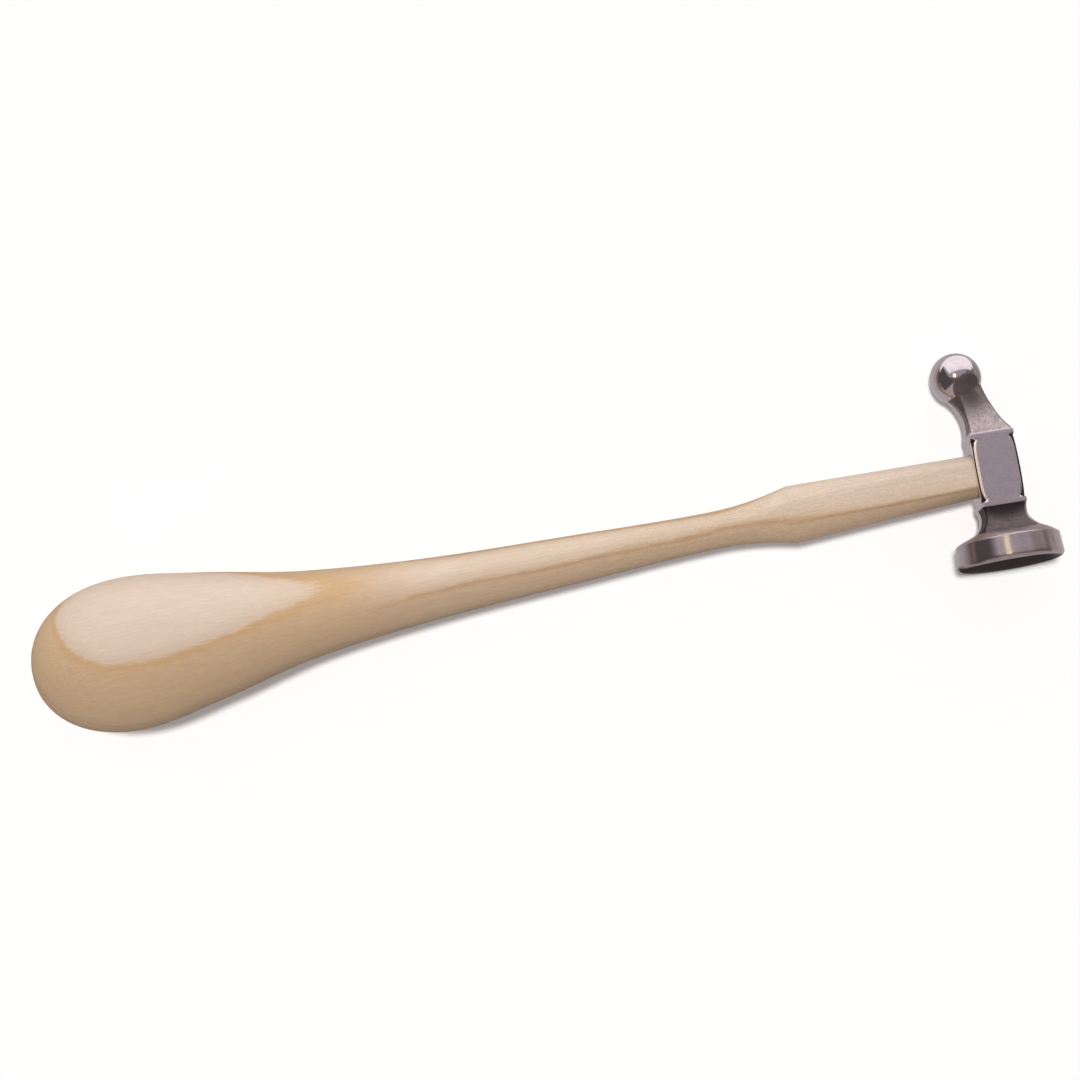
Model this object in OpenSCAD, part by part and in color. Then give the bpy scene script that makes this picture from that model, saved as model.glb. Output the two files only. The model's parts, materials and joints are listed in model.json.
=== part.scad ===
// Chasing hammer: polished steel head on a one-piece maple handle.
// The tool lies on its side, carried by the back edge of the face, the ball and the palm bulb.
// Head axes before it is laid down: X through the eye from the handle, Y to the ball, Z out of a cheek.

/* [Face] */
// Diameter of the back edge of the striking disc
disc_d = 25.9; // [22:0.1:30]
// Growth in diameter from the back edge to the front edge
disc_flare = 0.6; // [0:0.1:1.5]
// Length of the disc's rim along the head
rim_len = 4.9; // [3:0.1:8]
// Radius that rounds the rim into the face
rim_round = 1.3; // [0.4:0.1:1.8]
// Rise of the slightly domed face
face_dome = 0.45; // [0.1:0.05:0.8]
// Rise of the disc's coned back from the rim to the neck's hollow corners
back_drop = 1.6; // [0.8:0.1:2.2]
// Radius at which the neck's hollow corners meet the coned back
back_inner_r = 10.6; // [9:0.1:11.6]

/* [Eye block] */
// Side of the square block
block_w = 11.1; // [10:0.1:14]
// Length of the block along the head
block_len = 18.5; // [16:0.1:22]
// Distance from the middle of the eye to the face end of the block
eye_to_face_end = 8.9; // [7.8:0.1:9.8]
// Length of the square lip at each end of the corner reliefs
lip_len = 1.1; // [0.6:0.1:2]
// Depth of the corner reliefs beside the lips, measured on the turned radius
relief_depth = 0.9; // [0.4:0.1:1.1]
// Radius in the corner between a relief and its lip
relief_round = 0.7; // [0.3:0.1:0.9]

/* [Neck and ball] */
// Length of the neck between block and disc
neck_len = 8.3; // [7:0.1:11]
// Radius of the four scooped flats of the neck
neck_scoop_r = 5.1; // [4:0.1:6]
// Depth of the scooped flats below the block's sides
neck_scoop_depth = 0.4; // [0.3:0.1:1.2]
// Depth of the turned hollow between the flats
neck_corner_depth = 1.3; // [1.2:0.1:2.8]
// Diameter of the ball
ball_d = 12.9; // [10:0.1:14]
// Height of the ball's centre above the block
ball_rise = 15.6; // [13:0.1:18]
// How far the ball stands back towards the handle
ball_back = 5.2; // [3:0.1:8]
// Depth of the stem's hollow on the handle side
stem_inner_depth = 1.6; // [0.8:0.1:2.6]
// Depth of the stem's hollow on the outer side
stem_outer_depth = 1.3; // [0.8:0.1:2.6]
// Width of the stem where it meets the ball
stem_end_w = 10.2; // [8.8:0.1:10.6]
// Thickness of the stem where it meets the ball
stem_end_t = 8.8; // [7:0.1:9.6]
// Depth of the hollows in the stem's front and back flats
stem_flat_depth = 0.85; // [0.4:0.05:1.5]
// Depth of the turned hollow in the stem's corners
stem_corner_depth = 1.2; // [0.6:0.1:1.6]
// Turned radius of the stem's corners at the ball
stem_turned_r = 4.8; // [4.6:0.1:5.8]

/* [Eye and fit] */
// Degrees by which the face end of the head leans in towards the handle
head_cant = 2.7; // [0:0.1:5]
// Length of the oval eye along the head
eye_len = 10.2; // [8:0.1:11.5]
// Width of the oval eye
eye_w = 7; // [5:0.1:7.6]
// Gap all round between the tenon and the eye
eye_fit = 0.05; // [0.02:0.01:0.15]
// How far the tenon stands out of the eye
tenon_proud = 0.4; // [0:0.1:1]

/* [Handle] */
// Length from the butt to the middle of the eye
handle_reach = 245.4; // [220:0.1:270]
// Distance from the butt to the widest place of the bulb
bulb_at = 25; // [20:0.5:30]
// Width of the bulb
bulb_w = 38.5; // [32:0.5:44]
// Thickness of the bulb
bulb_t = 26; // [22:0.5:30]
// How far the bulb hangs below the handle's axis
bulb_drop = 0.6; // [0:0.1:4]
// Width where the palm swell falls away
palm_w = 32.2; // [28:0.1:34]
// Thickness where the palm swell falls away
palm_t = 23.9; // [20:0.1:26]
// Width at the front of the palm
throat_w = 22.3; // [19:0.1:25]
// Thickness at the front of the palm
throat_t = 19; // [16:0.1:21]
// Width at the grip
grip_w = 15.8; // [14:0.1:18]
// Thickness at the grip
grip_t = 13.6; // [12:0.1:15.5]
// Width at the waist
waist_w = 12; // [11:0.1:13.5]
// Thickness at the waist
waist_t = 10.5; // [9.6:0.1:12]
// Smallest width, at the neck
neck_w = 9.5; // [8.5:0.1:11]
// Smallest thickness, at the neck
neck_t = 8.8; // [8:0.1:10]
// Width at the shoulder's corner
shoulder_w = 14.6; // [13:0.1:17]
// Width where the handle meets the head
head_end_w = 10.9; // [10.5:0.1:12]
// Thickness between the flat cheeks at the shoulder
flat_t = 9.1; // [8.9:0.1:10]
// Thickness between the flat cheeks at the head
flat_end_t = 8.6; // [8:0.1:9.4]
// Distance from the middle of the eye back to the shoulder's corner
shoulder_back = 52.1; // [45:0.1:60]
// Length of the flare from the neck to the shoulder's corner
flare_len = 19.5; // [15:0.5:25]

/* [Wedges] */
// Thickness of the wooden wedge at its outer end
wood_wedge_t = 1.6; // [1:0.1:2]
// Thickness of the wooden wedge at its tip
wood_wedge_tip = 0.6; // [0.3:0.1:0.8]
// Depth of the wooden wedge in the tenon
wood_wedge_depth = 8.5; // [6:0.5:10]
// Thickness of the steel wedge at its outer end
steel_wedge_t = 1.1; // [0.8:0.1:1.6]
// Thickness of the steel wedge at its tip
steel_wedge_tip = 0.3; // [0.2:0.1:0.5]
// Length of the steel wedge across the tenon
steel_wedge_len = 5; // [4:0.1:5.4]
// Depth of the steel wedge
steel_wedge_depth = 6; // [4:0.5:8]
// Gap between the wedges and their slots
wedge_fit = 0.03; // [0.02:0.01:0.06]

/* [Hidden] */
$fn = 96;
// Overlap that joins the parts of one solid
weld = 0.5;

// Places along the head, from the middle of the eye
half_w = block_w / 2;
face_end_y = -eye_to_face_end;
ball_end_y = block_len - eye_to_face_end;
block_mid_y = (face_end_y + ball_end_y) / 2;
back_y = face_end_y - neck_len;
rim_end_y = back_y - rim_len;
face_y = rim_end_y - rim_round;
disc_r = disc_d / 2;
disc_front_r = disc_r + disc_flare / 2;
face_r = disc_front_r - rim_round;
ball_r = ball_d / 2;
ball_x = -ball_back;
ball_y = ball_end_y + ball_rise;
corner_r = half_w * sqrt(2);
dome_r = arc_radius(2 * face_r, face_dome);

// Flats of the neck: centre of the scoop, and the slope that runs on from it to the disc's back edge
scoop_x = half_w - neck_scoop_depth + neck_scoop_r;
scoop_y = face_end_y - sqrt(neck_scoop_r ^ 2 - (scoop_x - half_w) ^ 2);
// The slope reaches the disc's back this far outside its edge
flat_overrun = 0.3;
flat_end_x = disc_r + flat_overrun;
flat_run = norm([flat_end_x - scoop_x, back_y - scoop_y]);
scoop_turn = atan2(back_y - scoop_y, flat_end_x - scoop_x) - acos(neck_scoop_r / flat_run);
scoop_end = [scoop_x + neck_scoop_r * cos(scoop_turn), scoop_y + neck_scoop_r * sin(scoop_turn)];
// Turned corner of the neck just under the block, inside the block's own corner
neck_corner_drop = 0.4;

// Barrel of the corner reliefs, which clears the block's corners by this much at its middle
relief_spare = 0.05;
relief_mid_r = corner_r + relief_spare;
relief_end_r = relief_mid_r - relief_depth;
relief_half = block_len / 2 - lip_len;
relief_arc_r = arc_radius(2 * relief_half, relief_depth);

// Stem between the block and the ball, and its turned corners
stem_lean = atan2(ball_back, ball_rise);
stem_len = norm([ball_back, ball_rise]);
// Share of the way to the stem's circle on the ball, so that the stem's end lies inside the ball
stem_bite = 0.9;
stem_sink = stem_bite * sqrt(ball_r ^ 2 - stem_turned_r ^ 2);
stem_dir = [-sin(stem_lean), cos(stem_lean)];
stem_side = [cos(stem_lean), sin(stem_lean)];
stem_top = [0, ball_end_y] + stem_dir * (stem_len - stem_sink);
inner_foot = [-half_w, ball_end_y];
outer_foot = [half_w, ball_end_y];
inner_top = stem_top - stem_side * stem_end_w / 2;
outer_top = stem_top + stem_side * stem_end_w / 2;

// Tenon and wedges
tenon_end = half_w + tenon_proud;
tenon_root = 5;

// Places along the handle, from the butt
shoulder_at = handle_reach - shoulder_back;
neck_at = shoulder_at - flare_len;
seat_at = handle_reach - half_w;
// Shares of the way from the bulb to the neck
palm_share = 0.14;
throat_share = 0.30;
grip_share = 0.51;
waist_share = 0.77;
// What the cheeks' flats take off the oval at the shoulder and at the head
shoulder_cut = 0.7;
head_cut = 1.6;
shoulder_full_t = flat_t + shoulder_cut;
head_full_t = flat_end_t + head_cut;

// Place at a share of the way from the bulb to the neck
function between(share) = bulb_at + share * (neck_at - bulb_at);

// Rows of place, width, thickness and height of the centre line
stations = [
    [bulb_at, bulb_w, bulb_t, -bulb_drop],
    [between(palm_share), palm_w, palm_t, -bulb_drop / 2],
    [between(throat_share), throat_w, throat_t, 0],
    [between(grip_share), grip_w, grip_t, 0],
    [between(waist_share), waist_w, waist_t, 0],
    [neck_at, neck_w, neck_t, 0]
];
last_row = len(stations) - 1;

// Fullness of the butt's end, where 2 is an ellipse
butt_power = 2.15;
// Points round a section are 4 times this
quarter = 12;
// Widest angle of a flat's edge, which keeps its points apart
edge_limit = 82;
butt_rings = 12;
body_rings = 34;
flare_rings = 10;
taper_rings = 3;

// Laying the tool down: the disc's back edge and the ball give the roll, the bulb gives the pitch
rest_span = ball_y - back_y;
rest_reach = norm([rest_span, disc_r]);
roll = atan2(disc_r, rest_span) - asin(ball_r / rest_reach);
head_depth = disc_r * cos(roll) + back_y * sin(roll);
bulb_depth = norm([bulb_w / 2 * cos(head_cant) * sin(roll), bulb_t / 2 * cos(roll)]);
bulb_x = (handle_reach - bulb_at) * cos(head_cant) - bulb_drop * sin(head_cant);
bulb_y = (handle_reach - bulb_at) * sin(head_cant) + bulb_drop * cos(head_cant);
pitch = asin((bulb_depth - head_depth - bulb_y * sin(roll)) / bulb_x / cos(roll));

// Middle of the laid-down tool's box, from the butt, the disc and the ball
along_y = cos(roll) * cos(head_cant);
rest_x = (disc_r * cos(head_cant) + back_y * sin(head_cant) - handle_reach) / 2;
rest_top_y = ball_back * sin(head_cant) + ball_y * along_y + ball_r;
rest_low_y = rim_end_y * along_y - disc_front_r * sqrt(1 - along_y ^ 2);
rest_y = (rest_top_y + rest_low_y) / 2;

// Slope of column c of the stations at row i, level at both ends
function row_slope(i, c) = i == 0 || i == last_row ? 0
    : (stations[i + 1][c] - stations[i - 1][c]) / (stations[i + 1][0] - stations[i - 1][0]);

// Row whose stretch holds the place s
function row_of(s, i = 0) = i >= last_row - 1 || s < stations[i + 1][0] ? i : row_of(s, i + 1);

// Cubic curve through two heights with their slopes, over a stretch of the given length
function cubic(a, b, slope_a, slope_b, length, u) =
    a * (2 * u ^ 3 - 3 * u ^ 2 + 1) + slope_a * length * (u ^ 3 - 2 * u ^ 2 + u)
    + b * (3 * u ^ 2 - 2 * u ^ 3) + slope_b * length * (u ^ 3 - u ^ 2);

// Column c of the stations at the place s between bulb and neck
function swept(s, c) =
    let (i = row_of(s), a = stations[i], b = stations[i + 1], length = b[0] - a[0])
    cubic(a[c], b[c], row_slope(i, c), row_slope(i + 1, c), length, (s - a[0]) / length);

// Share of the bulb's full size at the place s of the rounded butt
function butt_share(s) = (1 - ((bulb_at - s) / bulb_at) ^ butt_power) ^ (1 / butt_power);

// Straight change from a to b over the tapered end
function tapered(a, b, s) = a + (b - a) * (s - shoulder_at) / (seat_at - shoulder_at);

// Growth over the flare, an arc's worth of widening that starts level
function flared(a, b, s) = a + (b - a) * ((s - neck_at) / flare_len) ^ 2;

function width_at(s) = s < bulb_at ? bulb_w * butt_share(s)
    : s < neck_at ? swept(s, 1)
    : s < shoulder_at ? flared(neck_w, shoulder_w, s)
    : tapered(shoulder_w, head_end_w, s);

function thick_at(s) = s < bulb_at ? bulb_t * butt_share(s)
    : s < neck_at ? swept(s, 2)
    : s < shoulder_at ? flared(neck_t, shoulder_full_t, s)
    : tapered(shoulder_full_t, head_full_t, s);

function centre_at(s) = s < bulb_at ? -bulb_drop : s < neck_at ? swept(s, 3) : 0;

// Thickness between the cheeks that are cut flat
function cheek_at(s) = s < neck_at ? bulb_t * 2 : s < shoulder_at ? flat_t : tapered(flat_t, flat_end_t, s);

// Angles round a quarter of the section, with one point on the flat's edge
function quarter_angles(edge) = concat(
    [for (i = [0 : quarter / 2 - 1]) edge * 2 * i / quarter],
    [for (i = [0 : quarter / 2 - 1]) edge + (90 - edge) * 2 * i / quarter]);

// Angles round the whole section
function section_angles(edge) =
    let (q = quarter_angles(edge))
    concat(q, [for (i = [quarter : -1 : 1]) 180 - (i == quarter ? 90 : q[i])],
        [for (a = q) 180 + a], [for (i = [quarter : -1 : 1]) 360 - (i == quarter ? 90 : q[i])]);

// Oval section at the place s, cut flat by the cheeks
function section(s) =
    let (w = width_at(s), t = thick_at(s), cut = cheek_at(s))
    let (edge = min(asin(min(cut / t, 1)), edge_limit))
    [for (a = section_angles(edge))
        [s - handle_reach, centre_at(s) + w / 2 * cos(a), max(-cut / 2, min(cut / 2, t / 2 * sin(a)))]];

// Places of the rings, closer together where the form turns faster
ring_places = concat(
    [for (i = [1 : butt_rings]) bulb_at * (1 - cos(90 * i / butt_rings))],
    [for (i = [1 : body_rings]) bulb_at + (neck_at - bulb_at) * i / body_rings],
    [for (i = [1 : flare_rings]) neck_at + flare_len * i / flare_rings],
    [for (i = [1 : taper_rings - 1]) shoulder_at + (seat_at - shoulder_at) * i / taper_rings]);

// Last ring, which lies against the slanting side of the head
seat_ring = [for (p = section(seat_at)) [(p.y * sin(head_cant) - half_w) / cos(head_cant), p.y, p.z]];

// Radius of the arc that stands the given depth above a chord of the given span
function arc_radius(span, depth) = (span * span / 4 + depth * depth) / (2 * depth);

// Head laid down on the bench, with the handle along X and the middle of the tool's box over the origin
module at_rest() {
    translate([-rest_x, -rest_y, head_depth])
        rotate([-roll, 0, -head_cant])
            rotate([0, pitch, 0])
                children();
}

// Circle that cuts a hollow of the given depth, to the left of the way from a to b
module hollow(a, b, depth) {
    chord = b - a;
    right = [chord.y, -chord.x] / norm(chord);
    r = arc_radius(norm(chord), depth);
    translate((a + b) / 2 + right * (r - depth)) circle(r);
}

// Solid turned about the head's axis from a drawing of radius across and height along
module turned() {
    rotate([-90, 0, 0]) rotate_extrude() children();
}

// Rim, rounded edge and coned back of the striking disc
module disc_profile() {
    polygon([[0, face_y], [face_r, face_y], [face_r, rim_end_y], [disc_front_r, rim_end_y],
        [disc_r, back_y], [0, back_y]]);
    intersection() {
        translate([face_r, rim_end_y]) circle(rim_round);
        translate([face_r / 2, face_y]) square([face_r, rim_round]);
    }
}

// Cap of the slightly domed face
module dome_profile() {
    intersection() {
        translate([0, face_y - face_dome + dome_r]) circle(dome_r, $fn = 1440);
        translate([0, face_y - 2 * face_dome]) square([face_r, 2 * face_dome + rim_round / 2]);
    }
}

module face_disc() {
    turned() {
        disc_profile();
        dome_profile();
    }
}

// Turned form of the neck, from the coned back of the disc up to the block
module neck_turned_profile() {
    start = [corner_r - neck_corner_drop, face_end_y];
    finish = [back_inner_r, back_y + back_drop];
    difference() {
        polygon([[0, back_y - weld], [disc_r, back_y - weld], [disc_r, back_y], finish, start,
            [0, face_end_y]]);
        hollow(finish, start, neck_corner_depth);
    }
}

// Outline of the neck between two opposite scooped flats
module neck_flat_profile() {
    difference() {
        translate([-disc_d, back_y - weld]) square([2 * disc_d, neck_len + weld]);
        for (side = [0, 1])
            mirror([side, 0]) {
                translate([scoop_x, scoop_y]) circle(neck_scoop_r);
                polygon([scoop_end, [flat_end_x, back_y], [disc_d * 1.1, back_y],
                    [disc_d * 1.1, face_end_y + weld], [scoop_x, face_end_y + weld], [scoop_x, scoop_y]]);
            }
    }
}

module face_neck() {
    intersection() {
        turned() neck_turned_profile();
        across_z() neck_flat_profile();
        across_x() neck_flat_profile();
    }
}

// Drawing of the X and Y plane, carried through the head's whole thickness
module across_z() {
    linear_extrude(4 * disc_r, center = true) children();
}

// The same drawing, turned to face along X
module across_x() {
    rotate([0, 90, 0]) across_z() children();
}

// Barrel that turns the block's long corners away between two square lips
module relief_profile() {
    wide = corner_r + 1;
    for (y = [face_end_y, ball_end_y - lip_len])
        translate([0, y]) square([wide, lip_len]);
    intersection() {
        translate([relief_mid_r - relief_arc_r, block_mid_y]) circle(relief_arc_r, $fn = 720);
        translate([0, face_end_y]) square([wide, block_len]);
    }
    for (end = [0, 1])
        translate([0, block_mid_y]) mirror([0, end]) translate([0, -block_mid_y])
            difference() {
                translate([relief_end_r - relief_round, face_end_y + lip_len])
                    square([2 * relief_round, relief_round]);
                translate([relief_end_r + relief_round, face_end_y + lip_len + relief_round])
                    circle(relief_round);
            }
}

module eye_block() {
    intersection() {
        translate([-half_w, face_end_y, -half_w]) cube([block_w, block_len, block_w]);
        turned() relief_profile();
    }
}

// Side outline of the stem between its two hollows
module stem_side_profile() {
    difference() {
        polygon([inner_foot, outer_foot, outer_top, [ball_x, ball_y], inner_top]);
        hollow(outer_foot, outer_top, stem_outer_depth);
        hollow(inner_top, inner_foot, stem_inner_depth);
    }
}

// Outline of the stem's thickness, seen along the handle
module stem_flat_profile() {
    foot = [half_w, ball_end_y];
    top = [stem_end_t / 2, ball_y - ball_r / 2];
    difference() {
        polygon([[-foot.x, foot.y], foot, top, [-top.x, top.y]]);
        for (side = [0, 1])
            mirror([side, 0]) hollow(foot, top, stem_flat_depth);
    }
}

// Turned form of the stem's corners, drawn along the stem's own axis
module stem_turned_profile() {
    foot = [corner_r, half_w * sin(stem_lean)];
    top = [stem_turned_r, stem_len - stem_sink];
    difference() {
        polygon([[0, -half_w], [corner_r, -half_w], foot, top, [0, top.y]]);
        hollow(foot, top, stem_corner_depth);
    }
}

module ball_stem() {
    intersection() {
        across_z() stem_side_profile();
        across_x() stem_flat_profile();
        translate([0, ball_end_y, 0]) rotate([0, 0, stem_lean]) turned() stem_turned_profile();
    }
}

// Oval of the eye and the tenon, drawn with its length along the head
module eye_oval(gap) {
    straight = eye_len - eye_w;
    for (y = [-straight / 2, straight / 2])
        translate([0, y]) circle(eye_w / 2 - gap);
    translate([gap - eye_w / 2, -straight / 2]) square([eye_w - 2 * gap, straight]);
}

// Drawing with Y along the head and X through its thickness, carried along the handle from a to b
module along_handle(a, b) {
    translate([a, 0, 0]) rotate([0, 90, 0]) linear_extrude(b - a) children();
}

// Slot or wedge that narrows from the tenon's end inwards, drawn from above
module wedge_profile(outer_t, tip_t, depth, gap) {
    tip_x = tenon_end - depth - gap;
    half_outer = outer_t / 2 + gap;
    half_tip = tip_t / 2 + gap;
    polygon([[tip_x, -half_tip], [tenon_end, -half_outer], [tenon_end, half_outer], [tip_x, half_tip]]);
}

// Wooden wedge or its sawn slot, which runs right through the tenon along the head
module wood_wedge_body(gap) {
    rotate([90, 0, 0])
        linear_extrude(eye_len + 2 * weld, center = true)
            wedge_profile(wood_wedge_t, wood_wedge_tip, wood_wedge_depth, gap);
}

// Steel wedge, driven across the wooden one
module steel_wedge_body(gap) {
    linear_extrude(steel_wedge_len + 2 * gap, center = true)
        wedge_profile(steel_wedge_t, steel_wedge_tip, steel_wedge_depth, gap);
}

// Outer form of the handle, swept through its sections from the butt to the seat of the head
module handle_sweep() {
    size = 4 * quarter;
    rings = concat([for (s = ring_places) section(s)], [seat_ring]);
    last = len(rings) - 1;
    butt = [[-handle_reach, -bulb_drop, 0]];
    points = concat(butt, [for (ring = rings) for (p = ring) p]);
    cap = [for (k = [0 : size - 1]) [0, 1 + k, 1 + (k + 1) % size]];
    sides = [for (i = [0 : last - 1]) for (k = [0 : size - 1])
        let (a = 1 + i * size + k, b = 1 + i * size + (k + 1) % size)
        each [[a, a + size, b + size], [a, b + size, b]]];
    seat = [[for (k = [size - 1 : -1 : 0]) 1 + last * size + k]];
    polyhedron(points, concat(cap, sides, seat));
}

module hammer_head() {
    color("#9c959e") at_rest()
        difference() {
            union() {
                face_disc();
                face_neck();
                eye_block();
                ball_stem();
                translate([ball_x, ball_y, 0]) sphere(ball_r);
            }
            along_handle(-block_w, block_w) eye_oval(0);
        }
}

module handle() {
    color("#dfc6a4") at_rest()
        difference() {
            union() {
                rotate([0, 0, head_cant]) handle_sweep();
                along_handle(-half_w - tenon_root, tenon_end) eye_oval(eye_fit);
            }
            wood_wedge_body(wedge_fit);
            steel_wedge_body(wedge_fit);
        }
}

module wooden_wedge() {
    color("#b98f5f") at_rest()
        difference() {
            intersection() {
                wood_wedge_body(0);
                along_handle(-half_w, tenon_end + weld) eye_oval(eye_fit);
            }
            steel_wedge_body(wedge_fit);
        }
}

module steel_wedge() {
    color("#77747c") at_rest() steel_wedge_body(0);
}

hammer_head();
handle();
wooden_wedge();
steel_wedge();
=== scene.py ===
"""Looks of a chasing hammer that lies on its side on a pale bench.

Pieces are worked out in millimetres in the head's own axes: X through the eye from the handle,
Y to the ball, Z out of the upper cheek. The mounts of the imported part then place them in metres.
"""

import json
import logging
import math
from dataclasses import dataclass
from enum import Enum
from typing import Callable, NamedTuple, Sequence

import bmesh
import bpy
from mathutils import Matrix, Vector


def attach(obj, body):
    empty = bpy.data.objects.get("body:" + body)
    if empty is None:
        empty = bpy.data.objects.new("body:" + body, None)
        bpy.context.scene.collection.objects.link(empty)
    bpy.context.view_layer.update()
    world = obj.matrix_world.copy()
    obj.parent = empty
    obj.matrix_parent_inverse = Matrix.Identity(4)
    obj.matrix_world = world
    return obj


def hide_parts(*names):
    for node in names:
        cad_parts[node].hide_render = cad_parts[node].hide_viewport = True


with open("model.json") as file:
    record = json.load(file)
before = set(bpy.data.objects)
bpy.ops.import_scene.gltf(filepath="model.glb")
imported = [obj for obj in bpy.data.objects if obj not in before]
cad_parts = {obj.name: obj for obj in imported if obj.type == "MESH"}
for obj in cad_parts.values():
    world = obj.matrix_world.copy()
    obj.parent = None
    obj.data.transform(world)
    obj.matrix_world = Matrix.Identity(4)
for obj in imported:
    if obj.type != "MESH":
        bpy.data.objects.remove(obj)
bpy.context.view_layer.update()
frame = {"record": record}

BODY = "root"
MM = 0.001
# Least divisor, and a distance past which a flat isn't there
TINY = 1e-6
FAR = 1e4
# Half angle in radians that a flat's columns keep where the turned outline hides the flat
LEAST_SPREAD = 0.12
LEAST_ROUGHNESS = 0.02
# Places of a Mix node's factor and two colours among its inputs, and of the mixed colour
MIX_INPUTS = (0, 6, 7)
MIX_RESULT = 2
LOG = logging.getLogger("chasing_hammer")


def soft_min(a: float, b: float, blend: float) -> float:
    """Smaller of two values, with a rounded change from one to the other.

    Args:
        a: First value.
        b: Second value.
        blend: Difference over which the two are blended.

    Returns:
        The blended smaller value.
    """
    near = max(blend - abs(a - b), 0.0) / blend
    return min(a, b) - near * near * blend / 4


def arc_radius(span: float, depth: float) -> float:
    """Radius of the arc that stands a depth above a chord.

    Args:
        span: Length of the chord.
        depth: Height of the arc over the chord.

    Returns:
        The arc's radius.
    """
    return (span * span / 4 + depth * depth) / (2 * depth)


def steps(start: float, stop: float, count: int) -> list[float]:
    """Evenly spaced values after start, up to and with stop."""
    return [start + (stop - start) * (i + 1) / count for i in range(count)]


@dataclass(frozen=True)
class Hollow:
    """Circular arc that is cut into an outline between two of its points."""

    start: tuple[float, float]
    end: tuple[float, float]
    depth: float
    side: int = 1

    @property
    def radius(self) -> float:
        """Radius of the arc."""
        return arc_radius(math.dist(self.start, self.end), self.depth)

    @property
    def centre(self) -> tuple[float, float]:
        """Centre of the arc, outside the outline.

        Returns:
            Its places across and along the head.
        """
        across, along = self.end[0] - self.start[0], self.end[1] - self.start[1]
        length = math.hypot(across, along)
        out = self.side * (self.radius - self.depth) / length
        middle = ((self.start[0] + self.end[0]) / 2, (self.start[1] + self.end[1]) / 2)
        return middle[0] + along * out, middle[1] - across * out

    def across(self, along: float) -> float:
        """Place of the arc across the head, at a place along it."""
        x, y = self.centre
        return x - self.side * math.sqrt(max(self.radius ** 2 - (along - y) ** 2, 0.0))


@dataclass(frozen=True)
class Seat:
    """Places the head's and the handle's own axes in the part's frame."""

    cheek: Vector
    cheek_axis: Vector
    handle_axis: Vector
    cant: float

    @classmethod
    def from_mounts(cls, cant: float) -> "Seat":
        """Reads the upper cheek and the handle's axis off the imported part.

        Args:
            cant: Angle between the handle and the head's own X axis, in radians.

        Returns:
            The seat.
        """
        mounts = {mount["name"]: mount for mount in frame["record"]["mounts"]}
        cheek = mounts["upper_cheek"]
        return cls(Vector(cheek["pos_m"]), Vector(cheek["axis"]).normalized(),
                   Vector(mounts["rack_neck"]["axis"]).normalized(), cant)

    def head(self, rise: float, shift: float) -> Matrix:
        """Turns the head's millimetres into the part's metres.

        Args:
            rise: Height of the cheek over the middle of the eye.
            shift: Place of the cheek's middle along the head.

        Returns:
            The matrix, with the middle of the eye as its origin.
        """
        x_axis = Matrix.Rotation(-self.cant, 3, self.cheek_axis) @ self.handle_axis
        y_axis = self.cheek_axis.cross(x_axis)
        origin = self.cheek - (self.cheek_axis * rise + y_axis * shift) * MM
        turn = Matrix((x_axis, y_axis, self.cheek_axis)).transposed().to_4x4()
        return Matrix.Translation(origin) @ turn @ Matrix.Scale(MM, 4)


class Loft:
    """Tube of quads that grows by extruding its open ring of edges."""

    def __init__(self, columns: int) -> None:
        """Starts with one ring.

        Args:
            columns: Number of vertices round the tube.
        """
        self.columns = columns
        self.mesh = bmesh.new()
        self.column = self.mesh.verts.layers.int.new("column")
        self.station = self.mesh.verts.layers.int.new("station")
        made = bmesh.ops.create_circle(self.mesh, cap_ends=False, segments=columns, radius=1.0)
        for number, vert in enumerate(made["verts"]):
            vert[self.column] = number
        self.ring = list(made["verts"])
        self.edges = list(self.mesh.edges)
        self.count = 0

    def place(self, points: Sequence[Vector]) -> None:
        """Moves the open ring to its points.

        Args:
            points: One point for each column.
        """
        for vert in self.ring:
            vert.co = points[vert[self.column]]
            vert[self.station] = self.count

    def grow(self, points: Sequence[Vector], finish: int = 0) -> None:
        """Extrudes the open ring to the next points.

        Args:
            points: One point for each column.
            finish: Material index of the new band of faces.
        """
        made = bmesh.ops.extrude_edge_only(self.mesh, edges=self.edges)["geom"]
        self.ring = [item for item in made if isinstance(item, bmesh.types.BMVert)]
        new = set(self.ring)
        self.edges = [item for item in made
                      if isinstance(item, bmesh.types.BMEdge) and all(v in new for v in item.verts)]
        for item in made:
            if isinstance(item, bmesh.types.BMFace):
                item.material_index = finish
        self.count += 1
        self.place(points)

    def close(self, pole: Vector) -> None:
        """Draws the open ring together into one point."""
        bmesh.ops.pointmerge(self.mesh, verts=self.ring, merge_co=pole)

    def cap(self) -> None:
        """Closes the open ring with one flat face."""
        bmesh.ops.edgeloop_fill(self.mesh, edges=self.edges)

    def plug(self) -> None:
        """Closes the last and the first ring with a flat face each."""
        self.cap()
        first = [edge for edge in self.mesh.edges if edge.is_boundary]
        bmesh.ops.edgeloop_fill(self.mesh, edges=first)

    def start_pole(self, pole: Vector) -> None:
        """Draws the first ring together into one point."""
        first = [v for v in self.mesh.verts if v[self.station] == 0]
        bmesh.ops.pointmerge(self.mesh, verts=first, merge_co=pole)

    def unwrap(self) -> None:
        """Gives the mesh a map whose U runs round it and whose V runs along it."""
        layer = self.mesh.loops.layers.uv.new("round")
        for face in self.mesh.faces:
            numbers = [loop.vert[self.column] for loop in face.loops]
            wraps = max(numbers) - min(numbers) > self.columns / 2
            for loop, number in zip(face.loops, numbers):
                turn = number + (self.columns if wraps and number < self.columns / 2 else 0)
                loop[layer].uv = (turn / self.columns, loop.vert[self.station] / max(self.count, 1))


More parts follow.
